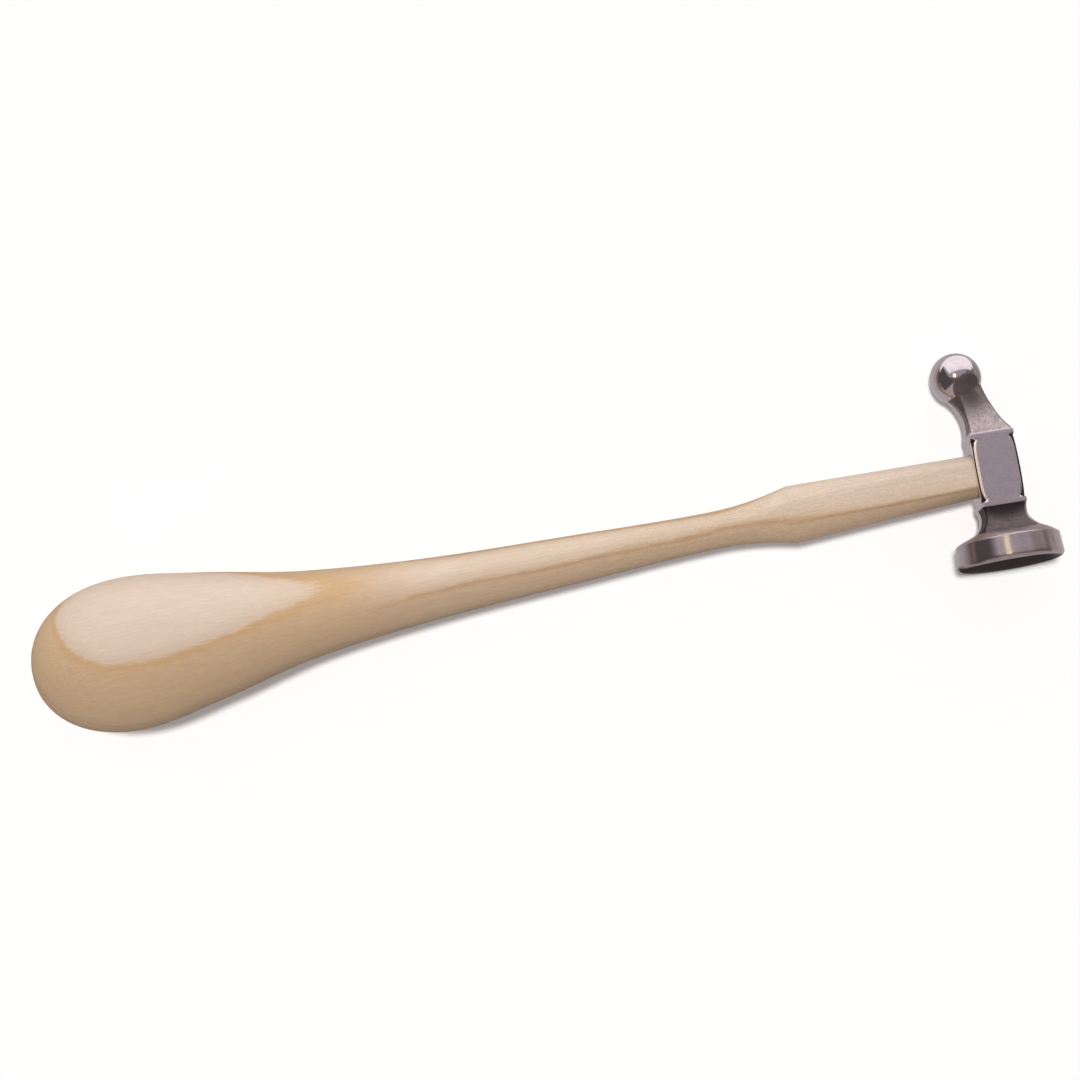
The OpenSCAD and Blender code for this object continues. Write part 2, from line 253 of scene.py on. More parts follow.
def finished(name: str, mesh: bmesh.types.BMesh, seat: Matrix) -> bpy.types.Object:
    """Places a mesh in the part's frame and makes it an object.

    Args:
        name: Name of the piece.
        mesh: The mesh in the head's millimetres, which is used up.
        seat: Matrix that places it.

    Returns:
        The new object, at the origin.
    """
    bmesh.ops.recalc_face_normals(mesh, faces=mesh.faces)
    bmesh.ops.transform(mesh, matrix=seat, verts=mesh.verts)
    data = bpy.data.meshes.new(name)
    mesh.to_mesh(data)
    mesh.free()
    data.shade_smooth()
    piece = bpy.data.objects.new(name, data)
    bpy.context.scene.collection.objects.link(piece)
    return piece


def boolean(piece: bpy.types.Object, cutter: bpy.types.Object, operation: str = "DIFFERENCE") -> None:
    """Cuts a piece with another one, which is deleted.

    Args:
        piece: The piece to be cut.
        cutter: The closed mesh that cuts it.
        operation: DIFFERENCE or INTERSECT.
    """
    modifier = piece.modifiers.new("cut", "BOOLEAN")
    modifier.operation = operation
    modifier.solver = "EXACT"
    modifier.object = cutter
    bpy.context.view_layer.update()
    graph = bpy.context.evaluated_depsgraph_get()
    made = bpy.data.meshes.new_from_object(piece.evaluated_get(graph), depsgraph=graph)
    piece.modifiers.remove(modifier)
    old = piece.data
    piece.data = made
    bpy.data.meshes.remove(old)
    bpy.data.objects.remove(cutter)


def keep_edges(piece: bpy.types.Object, angle: float = 28.0) -> None:
    """Shades a piece smooth but keeps its sharp edges.

    Args:
        piece: The piece.
        angle: Angle in degrees above which an edge stays sharp.
    """
    piece.data.shade_smooth()
    piece.data.set_sharp_from_angle(angle=math.radians(angle))


class Nodes:
    """Short way of writing a node tree."""

    def __init__(self, tree: bpy.types.NodeTree) -> None:
        """Holds the tree that nodes are added to."""
        self.tree = tree

    def link(self, source: bpy.types.NodeSocket, target: bpy.types.NodeSocket) -> None:
        """Links two sockets."""
        self.tree.links.new(source, target)

    def feed(self, target: bpy.types.NodeSocket, value: object) -> None:
        """Links an input to a socket, or gives it a plain value.

        Args:
            target: The input.
            value: The socket or value.
        """
        if isinstance(value, bpy.types.NodeSocket):
            self.link(value, target)
        else:
            target.default_value = value

    def add(self, kind: str, **values: object) -> bpy.types.Node:
        """Adds a node.

        Args:
            kind: Blender's name for the node's type, without ShaderNode.
            values: Properties of the node, or inputs by their names with _ for a space.

        Returns:
            The new node.
        """
        node = self.tree.nodes.new(kind if kind.startswith("Node") else "ShaderNode" + kind)
        for name, value in values.items():
            if hasattr(node, name):
                setattr(node, name, value)
            else:
                self.feed(node.inputs[name.replace("_", " ")], value)
        return node

    def math(self, operation: str, *values: object) -> bpy.types.NodeSocket:
        """Adds a Math node.

        Args:
            operation: Name of the operation.
            values: Its values or sockets in order.

        Returns:
            The result's socket.
        """
        node = self.add("Math", operation=operation)
        for target, value in zip(node.inputs, values):
            self.feed(target, value)
        return node.outputs[0]

    def vector(self, operation: str, *values: object) -> bpy.types.Node:
        """Adds a Vector Math node.

        Args:
            operation: Name of the operation.
            values: Its vectors or sockets in order.

        Returns:
            The new node.
        """
        node = self.add("VectorMath", operation=operation)
        for target, value in zip(node.inputs, values):
            self.feed(target, value)
        return node

    def scaled(self, vector: bpy.types.NodeSocket, factor: object) -> bpy.types.NodeSocket:
        """Multiplies a vector or a colour by one factor.

        Args:
            vector: Socket of the vector or colour.
            factor: The factor or its socket.

        Returns:
            The result's socket.
        """
        node = self.vector("SCALE", vector)
        self.feed(node.inputs["Scale"], factor)
        return node.outputs[0]

    def smooth(self, value: bpy.types.NodeSocket, low: float, high: float,
               start: float = 0.0, end: float = 1.0) -> bpy.types.NodeSocket:
        """Maps a value from one range to another with soft ends.

        Args:
            value: The value.
            low: Where the change begins.
            high: Where it ends.
            start: Result up to low.
            end: Result from high on.

        Returns:
            The result's socket.
        """
        node = self.add("MapRange", interpolation_type="SMOOTHSTEP", Value=value)
        for name, number in (("From Min", low), ("From Max", high), ("To Min", start), ("To Max", end)):
            node.inputs[name].default_value = number
        return node.outputs["Result"]

    def mix(self, amount: object, a: object, b: object) -> bpy.types.NodeSocket:
        """Mixes two colours.

        Args:
            amount: Share of the second colour.
            a: First colour or socket.
            b: Second colour or socket.

        Returns:
            The mixed colour's socket.
        """
        node = self.add("Mix", data_type="RGBA")
        for place, value in zip(MIX_INPUTS, (amount, a, b)):
            self.feed(node.inputs[place], value)
        return node.outputs[MIX_RESULT]

    def noise(self, vector: bpy.types.NodeSocket, scale: float, detail: float = 3.0,
              roughness: float = 0.5, distortion: float = 0.0) -> bpy.types.NodeSocket:
        """Adds a Noise texture.

        Args:
            vector: Its coordinates.
            scale: Its scale.
            detail: Its detail.
            roughness: Its roughness.
            distortion: Its distortion.

        Returns:
            The socket of its value.
        """
        node = self.add("TexNoise", Vector=vector, Scale=scale, Detail=detail,
                        Roughness=roughness, Distortion=distortion)
        return node.outputs[0]

    def own_axes(self, seat: Matrix,
                 stretch: tuple[float, float, float] = (1, 1, 1)) -> bpy.types.NodeSocket:
        """Object coordinates in millimetres along a piece's own axes.

        Args:
            seat: Matrix that places the axes.
            stretch: Length in millimetres that one unit of the pattern takes, along each axis.

        Returns:
            The socket of the coordinates.
        """
        place, turn, _ = seat.decompose()
        return self.add("Mapping", vector_type="TEXTURE",
                        Vector=self.add("TexCoord").outputs["Object"], Location=place,
                        Rotation=turn.to_euler("XYZ"),
                        Scale=[size * MM for size in stretch]).outputs[0]


def socketed_group(name: str, inputs: Sequence[tuple[str, str, object]],
                   outputs: Sequence[tuple[str, str]]) -> tuple[Nodes, bpy.types.Node, bpy.types.Node]:
    """Starts a shader node group.

    Args:
        name: Name of the group.
        inputs: Name, socket type and default of each input.
        outputs: Name and socket type of each output.

    Returns:
        The group's writer, and its input and output nodes.
    """
    tree = bpy.data.node_groups.new(name, "ShaderNodeTree")
    for label, kind, value in inputs:
        made = tree.interface.new_socket(label, in_out="INPUT", socket_type=kind)
        if value is not None:
            made.default_value = value
    for label, kind in outputs:
        tree.interface.new_socket(label, in_out="OUTPUT", socket_type=kind)
    nodes = Nodes(tree)
    return nodes, nodes.add("NodeGroupInput"), nodes.add("NodeGroupOutput")


def new_material(name: str) -> tuple[bpy.types.Material, Nodes, bpy.types.Node]:
    """Starts a material.

    Args:
        name: Name of the material.

    Returns:
        The material, its writer and its Principled shader.
    """
    made = bpy.data.materials.new(name)
    made.use_nodes = True
    return made, Nodes(made.node_tree), made.node_tree.nodes["Principled BSDF"]


def shown_rays(nodes: Nodes) -> bpy.types.NodeSocket:
    """Mask of the rays that show a thing without lighting others: camera, gloss and glass.

    Args:
        nodes: Writer of the material.

    Returns:
        The mask's socket.
    """
    path = nodes.add("LightPath").outputs
    mirrored = nodes.math("MAXIMUM", path["Is Glossy Ray"], path["Is Transmission Ray"])
    return nodes.math("MAXIMUM", path["Is Camera Ray"], mirrored)


class Effects:
    """Node groups that more than one finish uses."""

    def __init__(self) -> None:
        """Builds the groups."""
        self.scratches = self._scratches()
        self.pits = self._pits()

    @staticmethod
    def _scratches() -> bpy.types.NodeTree:
        """Fine lines that run along the first axis of the coordinates.

        Returns:
            The group's tree.
        """
        nodes, into, out = socketed_group(
            "fine_scratches",
            [("Vector", "NodeSocketVector", None), ("Length", "NodeSocketFloat", 8.0),
             ("Width", "NodeSocketFloat", 0.06)],
            [("Lines", "NodeSocketFloat"), ("Patches", "NodeSocketFloat")])
        split = nodes.add("SeparateXYZ", Vector=into.outputs["Vector"])
        long = nodes.math("DIVIDE", split.outputs[0], into.outputs["Length"])
        side = nodes.math("DIVIDE", split.outputs[1], into.outputs["Width"])
        deep = nodes.math("DIVIDE", split.outputs[2], into.outputs["Width"])
        lines = nodes.add("CombineXYZ", X=long, Y=side, Z=deep).outputs[0]
        nodes.link(nodes.noise(lines, 1.0, 2.0, 0.6), out.inputs["Lines"])
        nodes.link(nodes.noise(into.outputs["Vector"], 0.35, 2.0), out.inputs["Patches"])
        return nodes.tree

    @staticmethod
    def _pits() -> bpy.types.NodeTree:
        """Small shallow pits and grey blotches of ground steel.

        Returns:
            The group's tree.
        """
        nodes, into, out = socketed_group(
            "ground_pits",
            [("Vector", "NodeSocketVector", None), ("Size", "NodeSocketFloat", 0.25)],
            [("Pits", "NodeSocketFloat"), ("Blotches", "NodeSocketFloat")])
        grown = nodes.scaled(into.outputs["Vector"], nodes.math("DIVIDE", 1.0, into.outputs["Size"]))
        fine = nodes.noise(grown, 1.0, 3.0, 0.65)
        nodes.link(nodes.smooth(fine, 0.34, 0.5), out.inputs["Pits"])
        nodes.link(nodes.noise(grown, 0.3, 4.0, 0.6), out.inputs["Blotches"])
        return nodes.tree


class Steel(Enum):
    """Finishes of the head, each the index of its material."""

    BALL = 0
    STEM = 1
    CHEEK = 2
    NECK = 3
    DISC = 4
    CONE = 5
    # Painted highlight: a pale warm colour on the cheeks' left front edges, for the lamp's glint there.
    EDGE = 6
    # Painted shade: a darker colour on the stem's corners and on the upper part of its sides.
    HOLLOW = 7
    # Painted shade: a near-black colour in the recessed turned corners and on the neck's upper left side.
    RELIEF = 8
    FACE = 9


@dataclass(frozen=True)
class GrindAndShadeSpot:
    """Round patch with its own colour and roughness: a place on a polished surface that the grinding of the
    next one ran over, and on the stem and the neck a patch of painted shade.
    """

    centre: tuple[float, float, float]
    radius: float
    soft: float
    fray: float
    color: tuple[float, float, float]
    roughness: float

    def inside(self, nodes: Nodes, place: bpy.types.NodeSocket,
               blotches: bpy.types.NodeSocket) -> bpy.types.NodeSocket:
        """Mask of the spot, the same on the head's front and back.

        Args:
            nodes: Writer of the material.
            place: Coordinates in the head's millimetres.
            blotches: Pattern that frays the spot's edge.

        Returns:
            The mask's socket.
        """
        across, along, high = nodes.add("SeparateXYZ", Vector=place).outputs
        folded = nodes.add("CombineXYZ", X=across, Y=along, Z=nodes.math("ABSOLUTE", high)).outputs[0]
        distance = nodes.vector("DISTANCE", folded, self.centre).outputs["Value"]
        frayed = nodes.math("MULTIPLY_ADD", nodes.math("SUBTRACT", blotches, 0.5), self.fray, distance)
        return nodes.smooth(frayed, self.radius - self.soft / 2, self.radius + self.soft / 2, 1.0, 0.0)


@dataclass(frozen=True)
class SteelFinish:
    """Bare steel with fine lines, pits and a little tarnish.

    Lines have a length, width and depth, and pits a size and depth, in millimetres.
    """

    name: str
    color: tuple[float, float, float]
    roughness: float
    spread: float
    lines: tuple[float, float, float]
    pits: tuple[float, float]
    blotch: float
    anisotropy: float = 0.0
    speckle: float = 0.0
    spot: GrindAndShadeSpot | None = None
    tarnish: float = 0.45

    def material(self, effects: Effects, seat: Matrix) -> bpy.types.Material:
        """Builds the material.

        Args:
            effects: The shared node groups.
            seat: Matrix of the head's own axes.

        Returns:
            The material.
        """
        made, nodes, shader = new_material(self.name)
        shader.inputs["Metallic"].default_value = 1.0
        place = nodes.own_axes(seat)
        length, width, line_depth = self.lines
        pit_size, pit_depth = self.pits
        lines = nodes.add("Group", node_tree=effects.scratches, Vector=place, Length=length,
                          Width=width).outputs
        pits = nodes.add("Group", node_tree=effects.pits, Vector=place, Size=pit_size).outputs
        tarnished = [value * self.tarnish for value in self.color]
        color = nodes.mix(nodes.smooth(pits["Blotches"], 0.35, 0.68, 0.0, self.blotch),
                          (*self.color, 1), (*tarnished, 1))
        streak = nodes.smooth(lines["Lines"], 0.3, 0.7, 0.93, 1.05)
        speckle = nodes.smooth(pits["Pits"], 0.35, 0.65, 1 - self.speckle, 1 + self.speckle)
        color = nodes.scaled(color, nodes.math("MULTIPLY", streak, speckle))
        rough = nodes.math("MULTIPLY_ADD", lines["Patches"], self.spread, self.roughness - self.spread / 2)
        rough = nodes.math("MULTIPLY_ADD", lines["Lines"], self.spread, rough)
        # A spot is a ground place on the ball, and on the stem and the neck a patch of painted shade.
        if self.spot:
            inside = self.spot.inside(nodes, place, pits["Blotches"])
            color = nodes.mix(inside, color, (*self.spot.color, 1))
            change = nodes.math("SUBTRACT", self.spot.roughness, rough)
            rough = nodes.math("MULTIPLY_ADD", change, inside, rough)
        nodes.link(color, shader.inputs["Base Color"])
        nodes.link(nodes.math("MAXIMUM", rough, LEAST_ROUGHNESS), shader.inputs["Roughness"])
        height = nodes.math("MULTIPLY", lines["Lines"], line_depth)
        height = nodes.math("MULTIPLY_ADD", pits["Pits"], pit_depth, height)
        bump = nodes.add("Bump", Height=height, Distance=MM, Strength=1.0)
        nodes.link(bump.outputs[0], shader.inputs["Normal"])
        if self.anisotropy:
            shader.inputs["Anisotropic"].default_value = self.anisotropy
            shader.inputs["Anisotropic Rotation"].default_value = 0.25
            tangent = nodes.add("Tangent", direction_type="UV_MAP", uv_map="round")
            nodes.link(tangent.outputs[0], shader.inputs["Tangent"])
        return made


class Station(NamedTuple):
    """Ring of the turned outline, and the least half angle that its flats keep."""

    y: float
    radius: float
    finish: Steel
    spread: float = LEAST_SPREAD


@dataclass
class HammerHead:
    """Steel head: domed disc, scooped neck, eye block, leaning stem and ball."""

    disc_d: float = 25.9
    disc_flare: float = 0.6
    rim_len: float = 4.9
    rim_round: float = 1.3
    face_dome: float = 0.45
    back_drop: float = 1.6
    back_inner_r: float = 10.6
    block_w: float = 11.1
    block_len: float = 18.5
    eye_to_face_end: float = 8.9
    lip_len: float = 1.1
    relief_depth: float = 0.9
    relief_round: float = 0.7
    relief_spare: float = 0.05
    neck_len: float = 8.3
    neck_scoop_r: float = 5.1
    neck_scoop_depth: float = 0.4
    neck_corner_depth: float = 1.3
    neck_corner_drop: float = 0.4
    ball_d: float = 12.9
    ball_rise: float = 15.6
    ball_back: float = 5.2
    stem_inner_depth: float = 1.6
    stem_outer_depth: float = 1.3
    stem_end_w: float = 10.2
    stem_end_t: float = 8.8
    stem_flat_depth: float = 0.85
    stem_turned_r: float = 4.8
    stem_corner_depth: float = 1.2
    stem_bite: float = 0.9
    flat_overrun: float = 0.3
    eye_len: float = 10.2
    eye_w: float = 7.0
    eye_chamfer: float = 0.25
    edge_blend: float = 0.16
    cheek_blend: float = 0.55
    corner_blend: float = 0.4
    ledge_blend: float = 0.1
    top_blend: float = 0.13
    edge_round: float = 0.3
    crease: float = 0.03
    # Height on the neck's left side above which it gets the dark relief finish, which is painted shade.
    neck_shade_z: float = -1.2
    # Height on the stem's sides above which they get the darker hollow finish, which is painted shade.
    stem_shade_z: float = 0.8
    # Width of the painted highlight along the cheeks' front edges.
    front_edge: float = 1.2
    relief_margin: float = 0.05
    flat_columns: int = 10
    arc_columns: int = 9
    eye_columns: int = 96
    eye_overrun: float = 1.0
    disc_spread: float = math.radians(31.0)
    stem_spread: float = 0.1
    crease_offsets: tuple[float, ...] = (-1.6, -0.8, 0.0, 0.8, 1.6)
    least_arc: float = 3.4
    edge_rounds: int = 6
    face_shares: tuple[float, ...] = (0.04, 0.1, 0.2, 0.35, 0.5, 0.65, 0.8, 0.9, 0.97, 1.0)
    rim_rings: int = 10
    band_rings: int = 12
    bevel_rings: int = 6
    bevel_inset: float = 1.1
    bevel_fade: float = 0.6
    cone_rings: int = 10
    cone_fade: float = 1.5
    neck_rings: int = 26
    ledge_rings: int = 4
    ledge_step: float = 0.03
    ledge_shares: tuple[float, ...] = (0.35, 0.7, 1.0)
    lip_start: float = 0.12
    lip_offsets: tuple[float, ...] = (0.35, 0.1, 0.03)
    lip_drop: float = 0.3
    relief_rings: int = 6
    barrel_rings: int = 22
    top_offsets: tuple[float, ...] = (0.0, 0.08, 0.16, 0.26, 0.4, 0.6, 0.9, 1.3)
    stem_pitch: float = 0.1
    stem_rows: int = 30
    stem_ease: float = 1.25
    search_lead: float = 1.0
    search_stop: float = 0.5
    search_rounds: int = 13
    ball_rows: int = 56
    ball_reach: float = 0.985
    fillet_rings: int = 2
    fillet_rounds: int = 6
    sharp_angle: float = 35.0

    def __post_init__(self) -> None:
        """Works out the places along the head."""
        self.half_w = self.block_w / 2
        self.face_end = -self.eye_to_face_end
        self.ball_end = self.block_len - self.eye_to_face_end
        self.block_mid = (self.face_end + self.ball_end) / 2
        self.back_y = self.face_end - self.neck_len
        self.rim_end = self.back_y - self.rim_len
        self.face_y = self.rim_end - self.rim_round
        self.disc_r = self.disc_d / 2
        self.front_r = self.disc_r + self.disc_flare / 2
        self.face_r = self.front_r - self.rim_round
        self.corner_r = self.half_w * math.sqrt(2)
        self.ball_r = self.ball_d / 2
        self.ball_centre = Vector((-self.ball_back, self.ball_end + self.ball_rise, 0))
        self.lean = math.atan2(self.ball_back, self.ball_rise)
        self.stem_len = math.hypot(self.ball_back, self.ball_rise)
        self.stem_dir = Vector((-math.sin(self.lean), math.cos(self.lean), 0))
        self._scoop()
        self._stem()
        count = int((self.ball_centre.y - self.ball_end) / self.stem_pitch) + 2
        self.stem_sections = [self.section(self.ball_end + i * self.stem_pitch) for i in range(count)]

    def _scoop(self) -> None:
        """Works out the neck's scooped flats and turned corners."""
        self.scoop_x = self.half_w - self.neck_scoop_depth + self.neck_scoop_r
        self.scoop_y = self.face_end - math.sqrt(self.neck_scoop_r ** 2 - (self.scoop_x - self.half_w) ** 2)
        self.flat_end_x = self.disc_r + self.flat_overrun
        across, along = self.flat_end_x - self.scoop_x, self.back_y - self.scoop_y
        turn = math.atan2(along, across) - math.acos(self.neck_scoop_r / math.hypot(across, along))
        self.scoop_end = (self.scoop_x + self.neck_scoop_r * math.cos(turn),
                          self.scoop_y + self.neck_scoop_r * math.sin(turn))
        self.neck_turned = Hollow((self.back_inner_r, self.back_y + self.back_drop),
                                  (self.corner_r - self.neck_corner_drop, self.face_end),
                                  self.neck_corner_depth)
        self.relief_mid_r = self.corner_r + self.relief_spare
        self.relief_end_r = self.relief_mid_r - self.relief_depth
        self.relief_half = self.block_len / 2 - self.lip_len
        self.barrel_r = arc_radius(2 * self.relief_half, self.relief_depth)

    def _stem(self) -> None:
        """Works out the stem's hollows."""
        sink = self.stem_bite * math.sqrt(self.ball_r ** 2 - self.stem_turned_r ** 2)
        side = Vector((math.cos(self.lean), math.sin(self.lean), 0))
        top = Vector((0, self.ball_end, 0)) + self.stem_dir * (self.stem_len - sink)
        inner = top - side * self.stem_end_w / 2
        outer = top + side * self.stem_end_w / 2
        self.stem_outer = Hollow((self.half_w, self.ball_end), tuple(outer.xy), self.stem_outer_depth)
        self.stem_inner = Hollow((-self.half_w, self.ball_end), tuple(inner.xy), self.stem_inner_depth, -1)
        self.stem_flat = Hollow((self.half_w, self.ball_end),
                                (self.stem_end_t / 2, self.ball_centre.y - self.ball_r / 2),
                                self.stem_flat_depth)
        self.stem_corner_foot = self.half_w * math.sin(self.lean)
        self.stem_corner = Hollow((self.corner_r, self.stem_corner_foot),
                                  (self.stem_turned_r, self.stem_len - sink), self.stem_corner_depth)

    def neck_flat(self, y: float) -> float:
        """Half width between two scooped flats of the neck.

        Args:
            y: Place along the head.

        Returns:
            The half width, without end past the neck.
        """
        if y > self.face_end + self.edge_round:
            return math.inf
        if y > self.scoop_end[1]:
            return self.scoop_x - math.sqrt(self.neck_scoop_r ** 2 - (y - self.scoop_y) ** 2)
        share = (y - self.back_y) / (self.scoop_end[1] - self.back_y)
        return self.flat_end_x + (self.scoop_end[0] - self.flat_end_x) * share

    def flats(self, y: float) -> tuple[float, float, float]:
        """Distances of the left, right and front flats from the head's axis.

        Args:
            y: Place along the head.

        Returns:
            The three distances.
        """
        if y < self.back_y:
            return (math.inf,) * 3
        if y < self.block_mid:
            neck = self.neck_flat(y)
            half = neck if math.isinf(neck) else soft_min(neck, self.half_w, self.ledge_blend)
            half = min(half, self.half_w) if y > self.face_end - self.edge_round else neck
            return (half,) * 3
        if y < self.ball_end - self.edge_round * 2:
            return (self.half_w,) * 3
        near = y < self.ball_end + self.edge_round * 2
        sides = (-self.stem_inner.across(y), self.stem_outer.across(y), self.stem_flat.across(y))
        return tuple(soft_min(side, self.half_w, self.top_blend) if near else side for side in sides)

    def stem_turned(self, y: float, angle: float) -> float:
        """Distance of the stem's turned corners from its leaning axis, in a plane across the head.

        Args:
            y: Place along the head.
            angle: Direction from the axis, from +X towards +Z.

        Returns:
            The distance.
        """
        tilt = math.cos(angle) * self.stem_dir.x
        along = (y - self.ball_end) / self.stem_dir.y
        distance = self.corner_r
        for _ in range(4):
            place = along + distance * tilt
            radius = self.corner_r if place < self.stem_corner_foot else self.stem_corner.across(place)
            distance = radius / math.sqrt(1 - tilt * tilt)
        return distance

    def angles(self, sides: tuple[float, float], turned: Callable[[float], float],
               start: float, spread: float) -> list[float]:
        """Directions of the columns in one quarter of a section.

        Args:
            sides: Distances of the flats at the quarter's start and end.
            turned: Distance of the turned corner in a direction.
            start: Direction in which the quarter starts.
            spread: Smallest half angle that a flat's columns keep.

        Returns:
            The directions, without the quarter's end.
        """
        quarter = math.pi / 2
        edges = []
        for flat, way in zip(sides, (1, -1)):
            edge = quarter / 2
            for _ in range(self.edge_rounds):
                direction = start + edge if way > 0 else start + quarter - edge
                edge = math.acos(min(flat / turned(direction), 1.0))
            edges.append(max(edge, spread))
        first, last = edges[0], quarter - edges[1]
        least = self.least_arc * self.crease
        if last - first < least:
            bounded = math.isfinite(sides[0]) and math.isfinite(sides[1])
            middle = math.atan2(sides[1], sides[0]) if bounded else quarter / 2
            middle = min(max(middle, spread + least), quarter - spread - least)
            first, last = middle - least / 2, middle + least / 2
        low = [first + offset * self.crease for offset in self.crease_offsets]
        high = [last + offset * self.crease for offset in self.crease_offsets]
        flat = [0.0] + steps(0.0, low[0], self.flat_columns)[:-1]
        arc = steps(low[-1], high[0], self.arc_columns + 1)[:-1]
        beyond = steps(0.0, quarter - high[-1], self.flat_columns)[:-1]
        tail = [quarter - value for value in reversed(beyond)]
        return [start + value for value in flat + low + arc + high + tail]

    @property
    def columns(self) -> int:
        """Number of columns round the head."""
        return 4 * (2 * self.flat_columns + self.arc_columns + 2 * len(self.crease_offsets) - 1)

    def centre_at(self, y: float) -> float:
        """Middle of the section, which the stem's lean moves."""
        return -math.tan(self.lean) * max(y - self.ball_end, 0.0)

    def section(self, y: float, radius: float = 0.0, spread: float | None = None) -> list[Vector]:
        """Points of the section across the head.

        Args:
            y: Place along the head.
            radius: Turned radius there, or 0 on the stem.
            spread: Smallest half angle that a flat's columns keep, or None on the stem.

        Returns:
            One point for each column.
        """
        def turned(angle: float) -> float:
            """Distance of the turned corner in a direction."""
            return radius or self.stem_turned(y, angle)

        left, right, front = self.flats(y)
        centre = 0.0 if radius else self.centre_at(y)
        left, right = left + centre, right - centre
        blend = self.cheek_blend if self.face_end <= y <= self.ball_end else self.edge_blend
        points = []
        quarters = ((right, front), (front, left), (left, front), (front, right))
        for number, sides in enumerate(quarters):
            for angle in self.angles(sides, turned, number * math.pi / 2, spread or self.stem_spread):
                cosine, sine = math.cos(angle), math.sin(angle)
                flat_x = (right if cosine > 0 else left) / max(abs(cosine), TINY)
                flat_z = front / max(abs(sine), TINY)
                reach = turned(angle)
                square = min(flat_x, flat_z)
                if max(flat_x, flat_z) < FAR:
                    square = soft_min(flat_x, flat_z, self.corner_blend)
                if square < FAR:
                    reach = soft_min(square, reach, blend)
                points.append(Vector((centre + reach * cosine, y, reach * sine)))
        return points

    def disc_stations(self) -> list[Station]:
        """Stations of the face, the rim and the rounded edge behind it.

        Returns:
            The stations from the face's middle.
        """
        rows = []
        dome_r = arc_radius(2 * self.face_r, self.face_dome)
        for share in self.face_shares:
            radius = self.face_r * share
            drop = dome_r - math.sqrt(dome_r ** 2 - radius ** 2)
            rows.append(Station(self.face_y - self.face_dome + drop, radius, Steel.FACE, self.disc_spread))
        for turn in steps(0, math.pi / 2, self.rim_rings):
            rows.append(Station(self.rim_end - self.rim_round * math.cos(turn),
                                self.face_r + self.rim_round * math.sin(turn), Steel.DISC,
                                self.disc_spread))
        bevel = self.edge_round
        for y in steps(self.rim_end, self.back_y - bevel, self.band_rings):
            share = (y - self.rim_end) / (self.back_y - self.rim_end)
            radius = self.front_r - share * self.disc_flare / 2
            rows.append(Station(y, radius, Steel.DISC, self.disc_spread))
        fall = math.atan2(1.0, (self.disc_r - self.back_inner_r) / self.back_drop)
        for turn in steps(0, math.pi / 2 - fall, self.bevel_rings):
            rows.append(Station(self.back_y - bevel + bevel * math.sin(turn),
                                self.disc_r - bevel * self.bevel_inset + bevel * math.cos(turn), Steel.DISC,
                                self.disc_spread * (1 - self.bevel_fade * turn)))
        return rows

    def neck_stations(self) -> list[Station]:
        """Stations from the disc's coned back up the neck's turned corners.

        Returns:
            The stations from the disc.
        """
        rows = []
        start = self.disc_stations()[-1]
        cone_end = self.back_y + self.back_drop
        for y in steps(start.y, cone_end, self.cone_rings):
            share = (y - start.y) / (cone_end - start.y)
            rows.append(Station(y, start.radius + (self.back_inner_r - start.radius) * share, Steel.CONE,
                                max(LEAST_SPREAD, start.spread * (1 - share * self.cone_fade))))
        ledge = self.face_end - self.edge_round
        for y in steps(cone_end, ledge, self.neck_rings) + steps(ledge, self.face_end, self.ledge_rings):
            rows.append(Station(y, self.neck_turned.across(y), Steel.NECK))
        return rows

    def block_stations(self) -> list[Station]:
        """Stations of the eye block with its lips and corner reliefs.

        Returns:
            The stations from the neck.
        """
        ledge = self.neck_turned.across(self.face_end)
        full = self.corner_r + self.corner_blend
        lip = self.face_end + self.lip_len
        step = self.face_end + self.ledge_step
        rows = [Station(step, ledge + (full - ledge) * share, Steel.CHEEK) for share in self.ledge_shares]
        places = [self.face_end + self.lip_start, self.face_end + self.edge_round]
        places += [lip - offset for offset in self.lip_offsets]
        rows += [Station(y, full, Steel.CHEEK) for y in places]
        rows.append(Station(lip, full - self.lip_drop, Steel.CHEEK))
        for turn in [0.0] + steps(0, math.pi / 2, self.relief_rings):
            rows.append(Station(lip + self.relief_round * (1 - math.cos(turn)),
                                self.relief_end_r + self.relief_round * (1 - math.sin(turn)), Steel.CHEEK))
        middle_r = self.relief_mid_r - self.barrel_r
        for y in steps(lip + self.relief_round, self.block_mid, self.barrel_rings):
            rows.append(Station(y, middle_r + math.sqrt(self.barrel_r ** 2 - (y - self.block_mid) ** 2),
                                Steel.CHEEK))
        mirrored = [row._replace(y=2 * self.block_mid - row.y)
                    for row in reversed(rows[:-1]) if row.y > step]
        return rows + mirrored

    def stem_rings(self) -> list[list[Vector]]:
        """Rings of the stem, whose last one lies on the ball.

        Returns:
            The points of each ring.
        """
        rings = [self.section(self.ball_end + offset) for offset in self.top_offsets]
        start = self.ball_end + self.top_offsets[-1]
        low = [start + self.search_lead] * self.columns
        high = [self.ball_centre.y - self.search_stop] * self.columns
        for _ in range(self.search_rounds):
            for column in range(self.columns):
                middle = (low[column] + high[column]) / 2
                point = self.stem_point(middle, column)
                if (point - self.ball_centre).length > self.ball_r:
                    low[column] = middle
                else:
                    high[column] = middle
        for share in steps(0, 1, self.stem_rows):
            eased = 1 - (1 - share) ** self.stem_ease
            rings.append([self.stem_point(start + (end - start) * eased, column)
                          for column, end in enumerate(low)])
        return rings

    def stem_point(self, y: float, column: int) -> Vector:
        """Point of one column of the stem at a place along the head, between two kept sections.

        Args:
            y: Place along the head.
            column: Number of the column.

        Returns:
            The point.
        """
        place = (y - self.ball_end) / self.stem_pitch
        row = min(int(place), len(self.stem_sections) - 2)
        before, after = self.stem_sections[row:row + 2]
        return before[column].lerp(after[column], place - row)

